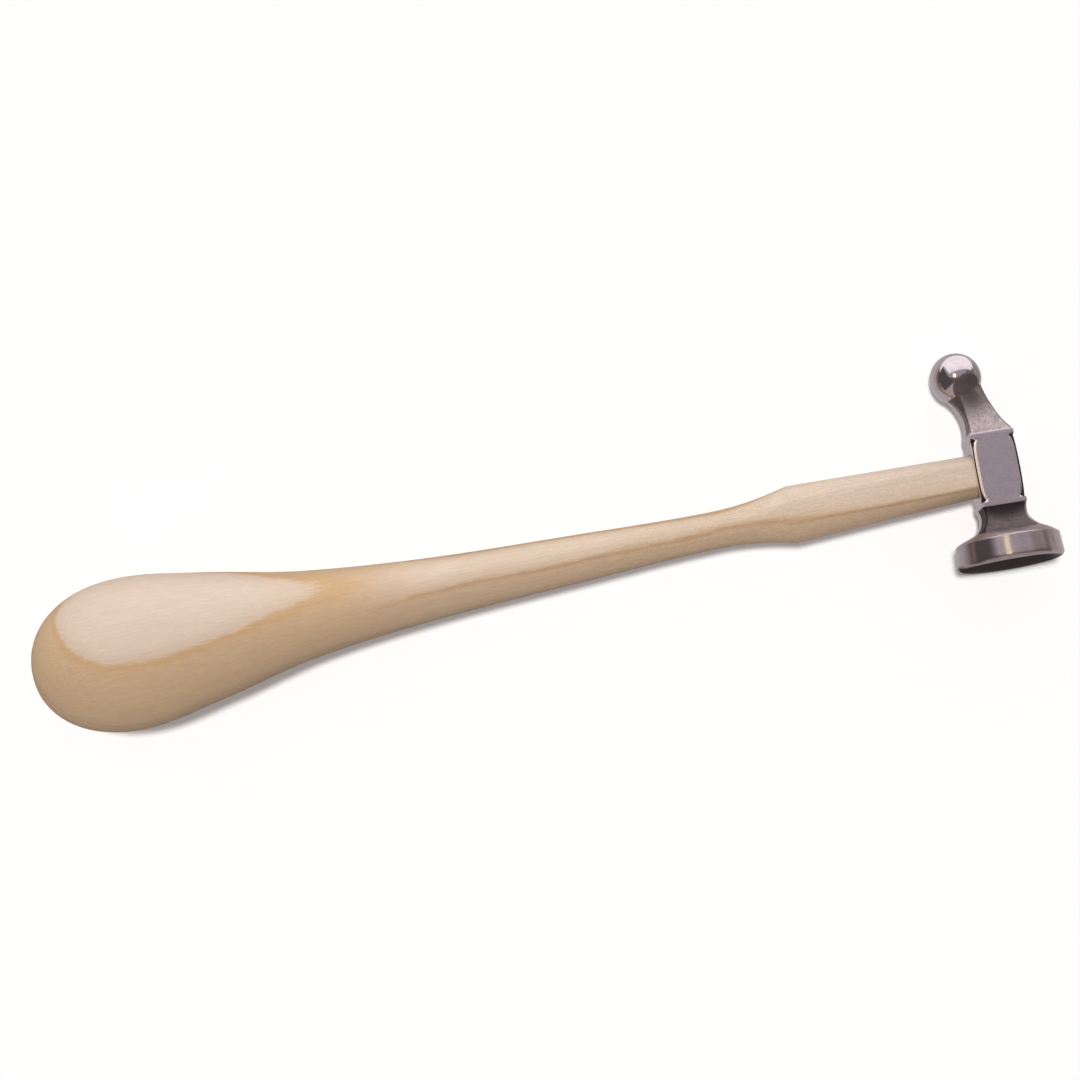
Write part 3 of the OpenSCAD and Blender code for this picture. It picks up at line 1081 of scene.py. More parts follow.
    def ball_rings(self, junction: list[Vector]) -> list[list[Vector]]:
        """Rings that run over the ball from its junction with the stem to its far pole.

        Args:
            junction: Points of the stem's last ring.

        Returns:
            The points of each ring.
        """
        rings = []
        pole = self.stem_dir
        starts = [(point - self.ball_centre).normalized() for point in junction]
        spans = [start.angle(pole) for start in starts]
        for share in steps(0, self.ball_reach, self.ball_rows):
            ring = []
            for start, span in zip(starts, spans):
                turn = span * share
                way = (start * math.sin(span - turn) + pole * math.sin(turn)) / math.sin(span)
                ring.append(self.ball_centre + way * self.ball_r)
            rings.append(ring)
        return rings

    def build(self, effects: Effects, seat: Matrix) -> bpy.types.Object:
        """Builds the head's mesh.

        Args:
            effects: The shared node groups.
            seat: Matrix of the head's own axes.

        Returns:
            The head, with a finish on each face.
        """
        loft = Loft(self.columns)
        first, *rows = self.disc_stations() + self.neck_stations() + self.block_stations()
        loft.place(self.section(first.y, first.radius, first.spread))
        for row in rows:
            loft.grow(self.section(row.y, row.radius, row.spread), row.finish.value)
        stem = self.stem_rings()
        for ring in stem:
            bevel = ring[0].y < self.ball_end + self.edge_round
            loft.grow(ring, Steel.CHEEK.value if bevel else Steel.STEM.value)
        junction = loft.count
        for ring in self.ball_rings(stem[-1]):
            loft.grow(ring, Steel.BALL.value)
        self.part_finishes(loft)
        loft.unwrap()
        fillet = [v for v in loft.mesh.verts if abs(v[loft.station] - junction) <= self.fillet_rings]
        for _ in range(self.fillet_rounds):
            bmesh.ops.smooth_vert(loft.mesh, verts=fillet, factor=0.5,
                                  use_axis_x=True, use_axis_y=True, use_axis_z=True)
        loft.close(self.ball_centre + self.stem_dir * self.ball_r)
        loft.start_pole(Vector((0, self.face_y - self.face_dome, 0)))
        head = finished("steel_head", loft.mesh, seat)
        cutter = self.eye_cutter(seat)
        for finish in self.finishes().values():
            made = finish.material(effects, seat)
            head.data.materials.append(made)
            cutter.data.materials.append(made)
        boolean(head, cutter)
        keep_edges(head, self.sharp_angle)
        return head

    def part_finishes(self, loft: Loft) -> None:
        """Gives the neck's sides, the block's turned corners and its front edges their own finishes, with
        painted light:
        a painted highlight on the cheeks' left front edges, painted shade in the block's turned corners and
        on the upper part of the neck's left side and of the stem's sides, and the lighter cone finish on
        the neck's right side as painted light.

        Args:
            loft: The head's loft.
        """
        quarter = self.columns // 4
        crease = len(self.crease_offsets)
        first_edge = self.flat_columns + crease // 2
        last_edge = first_edge + crease + self.arc_columns
        low = self.face_end + self.lip_len - self.relief_margin
        high = self.ball_end - self.lip_len + self.relief_margin
        for face in loft.mesh.faces:
            numbers = sorted(vert[loft.column] % quarter for vert in face.verts)
            place = face.calc_center_median()
            corner = first_edge <= numbers[0] and numbers[-1] <= last_edge
            edge = first_edge - 2 <= numbers[0] and numbers[-1] <= first_edge + 1
            edge = edge or (last_edge - 1 <= numbers[0] and numbers[-1] <= last_edge + 2)
            side = not corner and abs(place.x - self.centre_at(place.y)) > abs(place.z)
            if low < place.y < high:
                # Painted highlight on the cheeks' left front edges, where the lamp would glint.
                if edge and place.x < 0 and abs(place.z) > self.half_w - self.front_edge:
                    face.material_index = Steel.EDGE.value
                elif corner:
                    # Painted shade in the block's recessed turned corners.
                    face.material_index = Steel.RELIEF.value
            elif face.material_index == Steel.NECK.value and (side or corner):
                # Painted light on the neck: its left side keeps the satin cheek finish below a set height
                # and is painted dark above it, and its right side and corners get the lighter cone finish
                # as painted light.
                left = Steel.CHEEK if side and place.z < self.neck_shade_z else Steel.RELIEF
                face.material_index = (left if place.x < 0 else Steel.CONE).value
            elif face.material_index == Steel.STEM.value and (side or corner):
                # Painted shade: the stem's sides keep the satin cheek finish below a set height. Above it,
                # and on the corners, they get the darker hollow finish.
                polished = side and place.z < self.stem_shade_z
                face.material_index = (Steel.CHEEK if polished else Steel.HOLLOW).value

    def eye_cutter(self, seat: Matrix) -> bpy.types.Object:
        """Oval that cuts the eye, flared where it leaves the block's sides.

        Args:
            seat: Matrix of the head's own axes.

        Returns:
            The cutter.
        """
        reach, flare = self.half_w + self.eye_overrun, self.eye_chamfer + self.eye_overrun
        inner = self.half_w - self.eye_chamfer
        rings = [stadium(x, self.eye_len + 2 * grow, self.eye_w + 2 * grow, self.eye_columns)
                 for x, grow in ((-reach, flare), (-inner, 0.0), (inner, 0.0), (reach, flare))]
        loft = Loft(self.eye_columns)
        loft.place(rings[0])
        for ring in rings[1:]:
            loft.grow(ring, Steel.NECK.value)
        loft.plug()
        return finished("eye_cutter", loft.mesh, seat)

    def finishes(self) -> dict[Steel, SteelFinish]:
        """The head's finishes, in the order of their numbers.

        Returns:
            The finishes by their names.
        """
        over = self.ball_centre + Vector((0.26, -0.56, 0.78)).normalized() * self.ball_r
        lobe = GrindAndShadeSpot(tuple(over), radius=3.75, soft=0.5, fray=1.0, color=(0.20, 0.165, 0.165),
                          roughness=0.5)
        # Painted shade: the stem is darkened near the ball.
        below = self.ball_centre + Vector((0.35, -0.85, 0.55)) * self.ball_r
        painted_stem_shade = GrindAndShadeSpot(tuple(below), radius=4.0, soft=7.0, fray=2.5, color=(0.19, 0.155, 0.155),
                            roughness=0.62)
        # Painted shade: the neck is darkened next to the block.
        above = (0.0, self.face_end + 4.0, self.half_w)
        painted_neck_shade = GrindAndShadeSpot(above, radius=7.4, soft=3.0, fray=0.8, color=(0.075, 0.06, 0.06),
                                roughness=0.6)
        return {
            Steel.BALL: SteelFinish("polished_ball", (0.55, 0.50, 0.515), roughness=0.09, spread=0.05,
                                    lines=(3.0, 0.3, 0.0006), pits=(0.5, 0.0004), blotch=0.12, spot=lobe),
            Steel.STEM: SteelFinish("ground_stem", (0.56, 0.495, 0.50), roughness=0.66, spread=0.10,
                                    lines=(0.9, 0.16, 0.016), pits=(0.3, 0.018), blotch=0.5,
                                    speckle=0.32, spot=painted_stem_shade),
            Steel.CHEEK: SteelFinish("satin_cheek", (0.52, 0.47, 0.485), roughness=0.25, spread=0.05,
                                     lines=(9.0, 0.06, 0.002), pits=(0.4, 0.001), blotch=0.12,
                                     anisotropy=0.5),
            Steel.NECK: SteelFinish("ground_neck", (0.17, 0.14, 0.145), roughness=0.56, spread=0.14,
                                    lines=(2.5, 0.14, 0.03), pits=(0.2, 0.016), blotch=0.5,
                                    anisotropy=0.3, speckle=0.3, spot=painted_neck_shade),
            Steel.DISC: SteelFinish("turned_disc", (0.46, 0.405, 0.41), roughness=0.22, spread=0.05,
                                    lines=(6.0, 0.12, 0.001), pits=(0.6, 0.0006), blotch=0.2,
                                    anisotropy=0.85),
            # The cone's finish also goes on the neck's right side and corners, where its lighter colour is
            # painted light.
            Steel.CONE: SteelFinish("turned_cone", (0.46, 0.385, 0.375), roughness=0.36, spread=0.08,
                                    lines=(6.0, 0.12, 0.003), pits=(0.3, 0.002), blotch=0.3,
                                    anisotropy=0.5),
            # Painted highlight: a cream colour that stands in for the lamp's glint on the cheeks' left
            # front edges.
            Steel.EDGE: SteelFinish("painted_edge_highlight", (0.95, 0.87, 0.80), roughness=0.36, spread=0.06,
                                    lines=(2.0, 0.1, 0.002), pits=(0.3, 0.002), blotch=0.2),
            # Painted shade: darker steel on the stem's corners and on the upper part of its sides.
            Steel.HOLLOW: SteelFinish("hollow_painted_shade", (0.27, 0.23, 0.225), roughness=0.50, spread=0.10,
                                      lines=(2.5, 0.12, 0.006), pits=(0.3, 0.006), blotch=0.3),
            # Painted shade: near-black steel for the recessed corners and the neck's upper left side.
            Steel.RELIEF: SteelFinish("relief_painted_shade", (0.075, 0.06, 0.058), roughness=0.55, spread=0.10,
                                      lines=(2.0, 0.12, 0.008), pits=(0.25, 0.008), blotch=0.4),
            # Partly painted shade: the polished face's colour is kept darker than the disc's, for the
            # shaded bench that it mirrors.
            Steel.FACE: SteelFinish("polished_face", (0.40, 0.35, 0.345), roughness=0.13, spread=0.04,
                                    lines=(3.0, 0.2, 0.0008), pits=(0.5, 0.0005), blotch=0.15),
        }


def stadium(x: float, length: float, width: float, columns: int) -> list[Vector]:
    """Points of an oval with straight sides, in a plane across the handle.

    Args:
        x: Place of the plane.
        length: Length along Y.
        width: Width along Z.
        columns: Number of points.

    Returns:
        The points, from +Y towards +Z.
    """
    straight, radius = (length - width) / 2, width / 2
    points = []
    for column in range(columns):
        angle = 2 * math.pi * column / columns
        cosine, sine = math.cos(angle), math.sin(angle)
        reach = radius / abs(sine) if abs(sine) > TINY else math.inf
        if reach * abs(cosine) > straight:
            side = straight * abs(cosine)
            reach = side + math.sqrt(max(side * side - straight * straight + radius * radius, 0.0))
        points.append(Vector((x, reach * cosine, reach * sine)))
    return points


@dataclass
class Handle:
    """One-piece maple handle: palm bulb, grip, neck, flat-cheeked shoulder and tenon."""

    reach: float = 245.4
    cant: float = math.radians(2.7)
    bulb_at: float = 25.0
    bulb_drop: float = 0.6
    bulb: tuple[float, float] = (38.5, 26.0)
    palm: tuple[float, float] = (32.2, 23.9)
    throat: tuple[float, float] = (22.3, 19.0)
    grip: tuple[float, float] = (15.8, 13.6)
    waist: tuple[float, float] = (12.0, 10.5)
    neck: tuple[float, float] = (9.5, 8.8)
    shares: tuple[float, ...] = (0.0, 0.14, 0.30, 0.51, 0.77, 1.0)
    shoulder_w: float = 14.6
    head_end_w: float = 10.9
    flat_t: float = 9.1
    flat_end_t: float = 8.6
    shoulder_cut: float = 0.7
    head_cut: float = 1.6
    shoulder_back: float = 52.1
    flare_len: float = 19.5
    butt_power: float = 2.15
    seat_x: float = -5.55
    eye_len: float = 10.2
    eye_w: float = 7.0
    eye_fit: float = 0.05
    tenon_end: float = 5.95
    tenon_edge: tuple[tuple[float, float], ...] = ((0.25, 0.0), (0.07, 0.06), (0.0, 0.22))
    flat_blend: float = 0.12
    columns: int = 96
    flat_columns: int = 4
    edge_offsets: tuple[float, ...] = (-0.03, -0.012, 0.0)
    edge_reach: float = 0.05
    edge_gap: float = 0.03
    edge_share: float = 0.35
    steepest_edge: float = math.radians(80)
    corner_reach: float = 0.6
    butt_rings: int = 30
    body_rings: int = 120
    flare_rings: int = 36
    corner_rings: int = 8
    taper_rings: int = 30

    def __post_init__(self) -> None:
        """Works out the places along the handle."""
        self.shoulder_at = self.reach - self.shoulder_back
        self.neck_at = self.shoulder_at - self.flare_len
        self.seat_at = self.reach + self.seat_x
        sizes = (self.bulb, self.palm, self.throat, self.grip, self.waist, self.neck)
        drops = (-self.bulb_drop, -self.bulb_drop / 2, 0.0, 0.0, 0.0, 0.0)
        self.rows = [(self.bulb_at + share * (self.neck_at - self.bulb_at), size[0], size[1], drop)
                     for share, size, drop in zip(self.shares, sizes, drops)]

    def slope(self, row: int, column: int) -> float:
        """Slope of a column of the rows, level at both ends.

        Args:
            row: Number of the row.
            column: Number of the column.

        Returns:
            The slope.
        """
        if row in (0, len(self.rows) - 1):
            return 0.0
        after, before = self.rows[row + 1], self.rows[row - 1]
        return (after[column] - before[column]) / (after[0] - before[0])

    def swept(self, s: float, column: int) -> float:
        """Value of a column of the rows at a place between bulb and neck.

        Args:
            s: Place from the butt.
            column: Number of the column.

        Returns:
            The value, on a smooth curve through the rows.
        """
        row = max(i for i in range(len(self.rows) - 1) if i == 0 or s >= self.rows[i][0])
        a, b = self.rows[row], self.rows[row + 1]
        length = b[0] - a[0]
        u = (s - a[0]) / length
        return (a[column] * (2 * u ** 3 - 3 * u ** 2 + 1)
                + self.slope(row, column) * length * (u ** 3 - 2 * u ** 2 + u)
                + b[column] * (3 * u ** 2 - 2 * u ** 3)
                + self.slope(row + 1, column) * length * (u ** 3 - u ** 2))

    def size_at(self, s: float) -> tuple[float, float, float, float]:
        """Width, thickness, height of the middle and thickness between the cheeks.

        Args:
            s: Place from the butt.

        Returns:
            The four sizes.
        """
        if s < self.bulb_at:
            share = (1 - ((self.bulb_at - s) / self.bulb_at) ** self.butt_power) ** (1 / self.butt_power)
            return self.bulb[0] * share, self.bulb[1] * share, -self.bulb_drop, math.inf
        if s < self.neck_at:
            return self.swept(s, 1), self.swept(s, 2), self.swept(s, 3), math.inf
        if s < self.shoulder_at:
            grown = ((s - self.neck_at) / self.flare_len) ** 2
            full_t = self.flat_t + self.shoulder_cut
            return (self.neck[0] + (self.shoulder_w - self.neck[0]) * grown,
                    self.neck[1] + (full_t - self.neck[1]) * grown, 0.0, self.flat_t)
        share = (s - self.shoulder_at) / (self.seat_at - self.shoulder_at)
        start, end = self.flat_t + self.shoulder_cut, self.flat_end_t + self.head_cut
        return (self.shoulder_w + (self.head_end_w - self.shoulder_w) * share,
                start + (end - start) * share, 0.0,
                self.flat_t + (self.flat_end_t - self.flat_t) * share)

    def angles(self, edge: float) -> list[float]:
        """Directions of the columns, closer together at the cheeks' edges.

        Args:
            edge: Direction of the cheek's edge in the first quarter.

        Returns:
            The directions.
        """
        side_columns = self.columns // 4 - self.flat_columns - len(self.edge_offsets)
        low, high = edge - self.edge_reach, min(edge + self.edge_reach, math.pi / 2 - self.edge_gap)
        part = [0.0] + steps(0, low, side_columns - 1) + [edge + offset for offset in self.edge_offsets]
        part.append(edge + (high - edge) * self.edge_share)
        part += steps(high, math.pi / 2, self.flat_columns)[:-1]
        back = [math.pi - value for value in reversed(part[1:])]
        half = part + [math.pi / 2] + back
        return half + [math.pi + value for value in half]

    def section(self, s: float) -> list[Vector]:
        """Points of the section in the handle's own axes, from the middle of the eye.

        Args:
            s: Place from the butt.

        Returns:
            One point for each column.
        """
        width, thick, drop, cut = self.size_at(s)
        edge = math.asin(min(cut / thick, 1.0)) if math.isfinite(cut) else math.pi / 2
        edge = min(edge, self.steepest_edge)
        points = []
        for angle in self.angles(edge):
            height = abs(thick / 2 * math.sin(angle))
            if math.isfinite(cut):
                height = soft_min(height, cut / 2, self.flat_blend) if height > cut / 4 else height
            points.append(Vector((s - self.reach, drop + width / 2 * math.cos(angle),
                                  math.copysign(height, math.sin(angle)))))
        return points

    def places(self) -> list[float]:
        """Places of the rings from the butt to the seat.

        Returns:
            The places from the butt.
        """
        corner_start = self.shoulder_at - self.corner_reach
        corner_end = self.shoulder_at + self.corner_reach
        butt = [self.bulb_at * (1 - math.cos(turn)) for turn in steps(0, math.pi / 2, self.butt_rings)]
        body = steps(self.bulb_at, self.neck_at, self.body_rings)
        flare = steps(self.neck_at, corner_start, self.flare_rings)
        corner = steps(corner_start, corner_end, self.corner_rings)
        taper = steps(corner_end, self.seat_at, self.taper_rings)
        return butt + body + flare + corner + taper[:-1]

    def build(self, seat: Matrix) -> bpy.types.Object:
        """Builds the handle's mesh with its tenon.

        Args:
            seat: Matrix of the head's own axes.

        Returns:
            The handle.
        """
        turn = Matrix.Rotation(self.cant, 3, "Z")
        first, *rings = [[turn @ point for point in self.section(s)] for s in self.places()]
        loft = Loft(len(first))
        loft.place(first)
        for ring in rings:
            loft.grow(ring)
        end = []
        for point in self.section(self.seat_at):
            x = (point.y * math.sin(self.cant) + self.seat_x) / math.cos(self.cant)
            end.append(turn @ Vector((x, point.y, point.z)))
        loft.grow(end)
        length, width = self.eye_len - 2 * self.eye_fit, self.eye_w - 2 * self.eye_fit
        loft.grow(stadium(self.seat_x, length, width, loft.columns))
        for back, inset in self.tenon_edge:
            loft.grow(stadium(self.tenon_end - back, length - 2 * inset, width - 2 * inset, loft.columns))
        loft.cap()
        loft.start_pole(turn @ Vector((-self.reach, -self.bulb_drop, 0)))
        return finished("maple_handle", loft.mesh, seat)


@dataclass(frozen=True)
class Maple:
    """Pale maple whose growth rings are sheets round a pith that lies outside the handle."""

    name: str = "maple"
    pith: tuple[float, float] = (-11.7, -28.5)
    lean: float = 0.032
    scale: float = 60.0
    fleck: tuple[float, float, float] = (0.44, 0.25, 0.12)
    bulb_end: tuple[float, float] = (78.0, 108.0)
    curl_start: tuple[float, float] = (118.0, 165.0)
    calm_start: tuple[float, float] = (150.0, 195.0)
    raised_end: tuple[float, float] = (158.0, 186.0)
    sunk_start: tuple[float, float] = (196.0, 235.0)
    shade_start: tuple[float, float] = (200.0, 240.0)

    def rings(self, bulb: bool) -> list[tuple[float, tuple[float, float, float]]]:
        """Colours outwards from the pith, each with its distance in millimetres.

        Args:
            bulb: Whether they are the bulb's, and not those of the grip and the flats.

        Returns:
            The distances and colours.
        """
        # The outer rings lie on the upper side and on the shoulder's flats, so their paler, pinker colours
        # are partly the wood's own and partly painted light where the light falls.
        pale, pink = (0.55, 0.425, 0.32), (0.58, 0.465, 0.37)
        faint, soft = (0.44, 0.29, 0.17), (0.50, 0.335, 0.19)
        if bulb:
            tan, line = (0.50, 0.345, 0.21), (0.49, 0.305, 0.145)
            upper = [(40.8, tan), (41.6, tan), (42.35, line), (42.7, pale), (43.7, pink), (58.0, pink)]
        else:
            tan, line = (0.50, 0.355, 0.235), (0.43, 0.275, 0.155)
            shoulder = (0.535, 0.40, 0.285)
            upper = [(40.4, tan), (40.7, line), (40.85, line), (41.1, shoulder), (42.2, pink),
                     (46.0, shoulder), (58.0, shoulder)]
        lower = [(14.0, tan)]
        for before, middle, after, color in ((19.6, 20.0, 20.4, soft), (23.6, 24.0, 24.4, soft),
                                             (28.2, 28.6, 29.0, soft), (33.9, 34.15, 34.5, faint),
                                             (37.1, 37.5, 37.8, soft)):
            lower += [(before, tan), (middle, color), (after, tan)]
        return lower + upper

    def ramp(self, nodes: Nodes, ring: bpy.types.NodeSocket, bulb: bool) -> bpy.types.NodeSocket:
        """Colours the rings.

        Args:
            nodes: Writer of the material.
            ring: Distance from the pith in millimetres.
            bulb: Whether the colours are the bulb's.

        Returns:
            The colour's socket.
        """
        ramp = nodes.add("ValToRGB")
        nodes.link(nodes.math("DIVIDE", ring, self.scale), ramp.inputs[0])
        stops = ramp.color_ramp.elements
        rows = self.rings(bulb)
        for distance, _ in rows[1:-1]:
            stops.new(distance / self.scale)
        for stop, (distance, color) in zip(stops, rows):
            stop.position = distance / self.scale
            stop.color = (*color, 1)
        return ramp.outputs[0]

    def material(self, seat: Matrix) -> bpy.types.Material:
        """Builds the material.

        Args:
            seat: Matrix of the handle's own axes, with the butt as its origin.

        Returns:
            The material.
        """
        made, nodes, shader = new_material(self.name)
        along, side, up = nodes.add("SeparateXYZ", Vector=nodes.own_axes(seat)).outputs
        ring = self.distance(nodes, seat, along, side, up)
        raised = nodes.math("ADD", ring, nodes.smooth(along, *self.raised_end, 1.1, 0.3))
        raised = nodes.math("ADD", raised, nodes.smooth(along, *self.sunk_start, 0.0, -0.5))
        tint = nodes.mix(nodes.smooth(along, *self.bulb_end), self.ramp(nodes, ring, True),
                         self.ramp(nodes, raised, False))
        streaks = nodes.noise(nodes.own_axes(seat, (30, 0.35, 0.35)), 1.0, 4.0, 0.6)
        curl = nodes.noise(nodes.own_axes(seat, (1.2, 0.24, 0.24)), 1.0, 3.0, 0.6, 1.4)
        ripple = nodes.smooth(curl, 0.36, 0.64, -1.0, 1.0)
        tone = nodes.smooth(streaks, 0.25, 0.75, 0.93, 1.06)
        tone = nodes.math("MULTIPLY_ADD", ripple, nodes.smooth(along, *self.curl_start, 0.03, 0.10), tone)
        # Painted shade: the wood is darkened towards the head, where the handle goes into the eye.
        tone = nodes.math("MULTIPLY", tone, nodes.smooth(along, *self.shade_start, 1.0, 0.93))
        flecks = nodes.noise(nodes.own_axes(seat, (2.4, 0.16, 0.16)), 1.0, 2.0, 0.5)
        patches = nodes.noise(nodes.own_axes(seat, (14, 4, 4)), 1.0, 2.0, 0.5)
        amount = nodes.math("MULTIPLY", nodes.smooth(flecks, 0.62, 0.74),
                            nodes.smooth(patches, 0.42, 0.62, 0.12, 0.6))
        color = nodes.mix(amount, nodes.scaled(tint, tone), (*self.fleck, 1))
        nodes.link(color, shader.inputs["Base Color"])
        nodes.link(nodes.math("MULTIPLY_ADD", streaks, 0.16, 0.36), shader.inputs["Roughness"])
        height = nodes.math("MULTIPLY_ADD", flecks, -0.03, nodes.math("MULTIPLY", streaks, 0.035))
        curled = nodes.smooth(along, *self.curl_start, 0.003, 0.012)
        height = nodes.math("MULTIPLY_ADD", ripple, curled, height)
        bump = nodes.add("Bump", Height=height, Distance=MM, Strength=0.6)
        nodes.link(bump.outputs[0], shader.inputs["Normal"])
        shader.inputs["Specular IOR Level"].default_value = 0.4
        return made

    def distance(self, nodes: Nodes, seat: Matrix, along: bpy.types.NodeSocket,
                 side: bpy.types.NodeSocket, up: bpy.types.NodeSocket) -> bpy.types.NodeSocket:
        """Distance from the leaning pith, made uneven as real rings are.

        Args:
            nodes: Writer of the material.
            seat: Matrix of the handle's own axes.
            along: Place along the handle.
            side: Place across it.
            up: Height in it.

        Returns:
            The distance's socket, in millimetres.
        """
        wave = nodes.noise(nodes.own_axes(seat, (40, 9, 9)), 1.0, 3.0, 0.55)
        fuzz = nodes.noise(nodes.own_axes(seat, (4.0, 0.5, 0.5)), 1.0, 4.0, 0.65)
        squares = [nodes.math("POWER", nodes.math("SUBTRACT", value, middle), 2.0)
                   for value, middle in zip((side, up), self.pith)]
        ring = nodes.math("MULTIPLY_ADD", along, self.lean, nodes.math("SQRT", nodes.math("ADD", *squares)))
        ring = nodes.math("MULTIPLY_ADD", nodes.math("SUBTRACT", wave, 0.5), 0.7, ring)
        return nodes.math("MULTIPLY_ADD", nodes.math("SUBTRACT", fuzz, 0.5),
                          nodes.smooth(along, *self.calm_start, 1.0, 0.35), ring)


@dataclass
class Wedges:
    """Hardwood wedge in the tenon's slot, and the small steel wedge driven across it."""

    wood_t: float = 1.6
    wood_tip: float = 0.6
    wood_depth: float = 8.5
    steel_t: float = 1.1
    steel_tip: float = 0.3
    steel_len: float = 5.0
    steel_depth: float = 6.0
    fit: float = 0.03
    outer: float = 5.95
    eye_len: float = 10.1
    eye_w: float = 6.9
    past_end: float = 0.5
    past_eye: float = 1.0
    edge_round: float = 0.06
    eye_columns: int = 64

    def taper(self, size: tuple[float, float, float], tip: float, axis: int,
              gap: float, proud: float = 0.0) -> bmesh.types.BMesh:
        """Block that narrows towards its inner end.

        Args:
            size: Depth, width along Y and width along Z at the outer end.
            tip: Thickness at the inner end.
            axis: 1 if it narrows along Y, 2 if along Z.
            gap: Growth on every side.
            proud: How far it runs on past the tenon's end.

        Returns:
            The block.
        """
        mesh = bmesh.new()
        bmesh.ops.create_cube(mesh, size=1.0)
        full = size[axis] + 2 * gap
        share = (tip + 2 * gap) / full
        run = (1 - share) * proud / size[0]
        for vert in mesh.verts:
            inner = vert.co.x < 0
            vert.co.x = self.outer - size[0] - gap if inner else self.outer + proud
            for other in (1, 2):
                vert.co[other] *= size[other] + 2 * gap
            vert.co[axis] *= share if inner else 1 + run
        return mesh

    def wood(self, gap: float, proud: float = 0.0) -> bmesh.types.BMesh:
        """Wooden wedge's block, as long as the eye and a little more."""
        size = (self.wood_depth, self.eye_len + self.past_eye, self.wood_t)
        return self.taper(size, self.wood_tip, 2, gap, proud)

    def steel(self, gap: float, proud: float = 0.0) -> bmesh.types.BMesh:
        """Steel wedge's block."""
        return self.taper((self.steel_depth, self.steel_t, self.steel_len), self.steel_tip, 1, gap, proud)

    def cut_tenon(self, handle: bpy.types.Object, seat: Matrix) -> None:
        """Cuts both slots into the handle's tenon.

        Args:
            handle: The handle.
            seat: Matrix of the head's own axes.
        """
        boolean(handle, finished("wood_slot", self.wood(self.fit, self.past_end), seat))
        boolean(handle, finished("steel_slot", self.steel(self.fit, self.past_end), seat))
        keep_edges(handle)

    def build_wood(self, seat: Matrix) -> bpy.types.Object:
        """Builds the wooden wedge, its ends rounded like the eye's.

        Args:
            seat: Matrix of the head's own axes.

        Returns:
            The wedge.
        """
        loft = Loft(self.eye_columns)
        loft.place(stadium(-self.outer, self.eye_len, self.eye_w, self.eye_columns))
        loft.grow(stadium(self.outer + self.past_end, self.eye_len, self.eye_w, self.eye_columns))
        loft.plug()
        wedge = finished("hardwood_wedge", self.wood(0.0), seat)
        boolean(wedge, finished("eye_form", loft.mesh, seat), "INTERSECT")
        boolean(wedge, finished("steel_slot", self.steel(self.fit, self.past_end), seat))
        keep_edges(wedge)
        return wedge

    def build_steel(self, seat: Matrix) -> bpy.types.Object:
        """Builds the steel wedge with softened edges.

        Args:
            seat: Matrix of the head's own axes.

        Returns:
            The wedge.
        """
        mesh = self.steel(0.0)
        bmesh.ops.bevel(mesh, geom=list(mesh.edges), offset=self.edge_round, segments=2, affect="EDGES",
                        profile=0.5, material=-1)
        return finished("cross_wedge", mesh, seat)


@dataclass(frozen=True)
class WedgeWood:
    """Darker, close-grained hardwood."""

    name: str = "wedge_hardwood"
    pale: tuple[float, float, float] = (0.50, 0.31, 0.16)
    dark: tuple[float, float, float] = (0.28, 0.15, 0.07)
    pore: tuple[float, float, float] = (0.12, 0.06, 0.03)

    def material(self, seat: Matrix) -> bpy.types.Material:
        """Builds the material.

        Args:
            seat: Matrix of the head's own axes.

        Returns:
            The material.
        """
        made, nodes, shader = new_material(self.name)
        grain = nodes.noise(nodes.own_axes(seat, (5.0, 0.4, 0.25)), 1.0, 4.0, 0.6)
        pores = nodes.noise(nodes.own_axes(seat, (1.5, 0.09, 0.09)), 1.0, 2.0, 0.5)
        tone = nodes.mix(nodes.smooth(grain, 0.3, 0.7), (*self.pale, 1), (*self.dark, 1))
        tone = nodes.mix(nodes.smooth(pores, 0.6, 0.7, 0.0, 0.6), tone, (*self.pore, 1))
        nodes.link(tone, shader.inputs["Base Color"])
        nodes.link(nodes.math("MULTIPLY_ADD", grain, 0.2, 0.42), shader.inputs["Roughness"])
        bump = nodes.add("Bump", Height=nodes.math("MULTIPLY", pores, 0.03), Distance=MM, Strength=0.7)
        nodes.link(bump.outputs[0], shader.inputs["Normal"])
        return made


@dataclass(frozen=True)
class Edge:
    """Edge of a patch: a plane that faces into it.

    It cuts the room's directions, or places on the table in millimetres.
    """

    facing: tuple[float, float, float]
    offset: float = 0.0
    soft: float = 0.05


@dataclass(frozen=True)
class Patch:
    """Part of the room or of the table with its own glow, inside all of its edges."""

    name: str
    glow: tuple[float, float, float]
    edges: tuple[Edge, ...]


@dataclass(frozen=True)
class Sun:
    """Broad distant lamp: its way from the bench, its level on a white surface and its width in degrees."""

    name: str
    way: tuple[float, float, float]
    level: float
    width: float
    color: tuple[float, float, float]


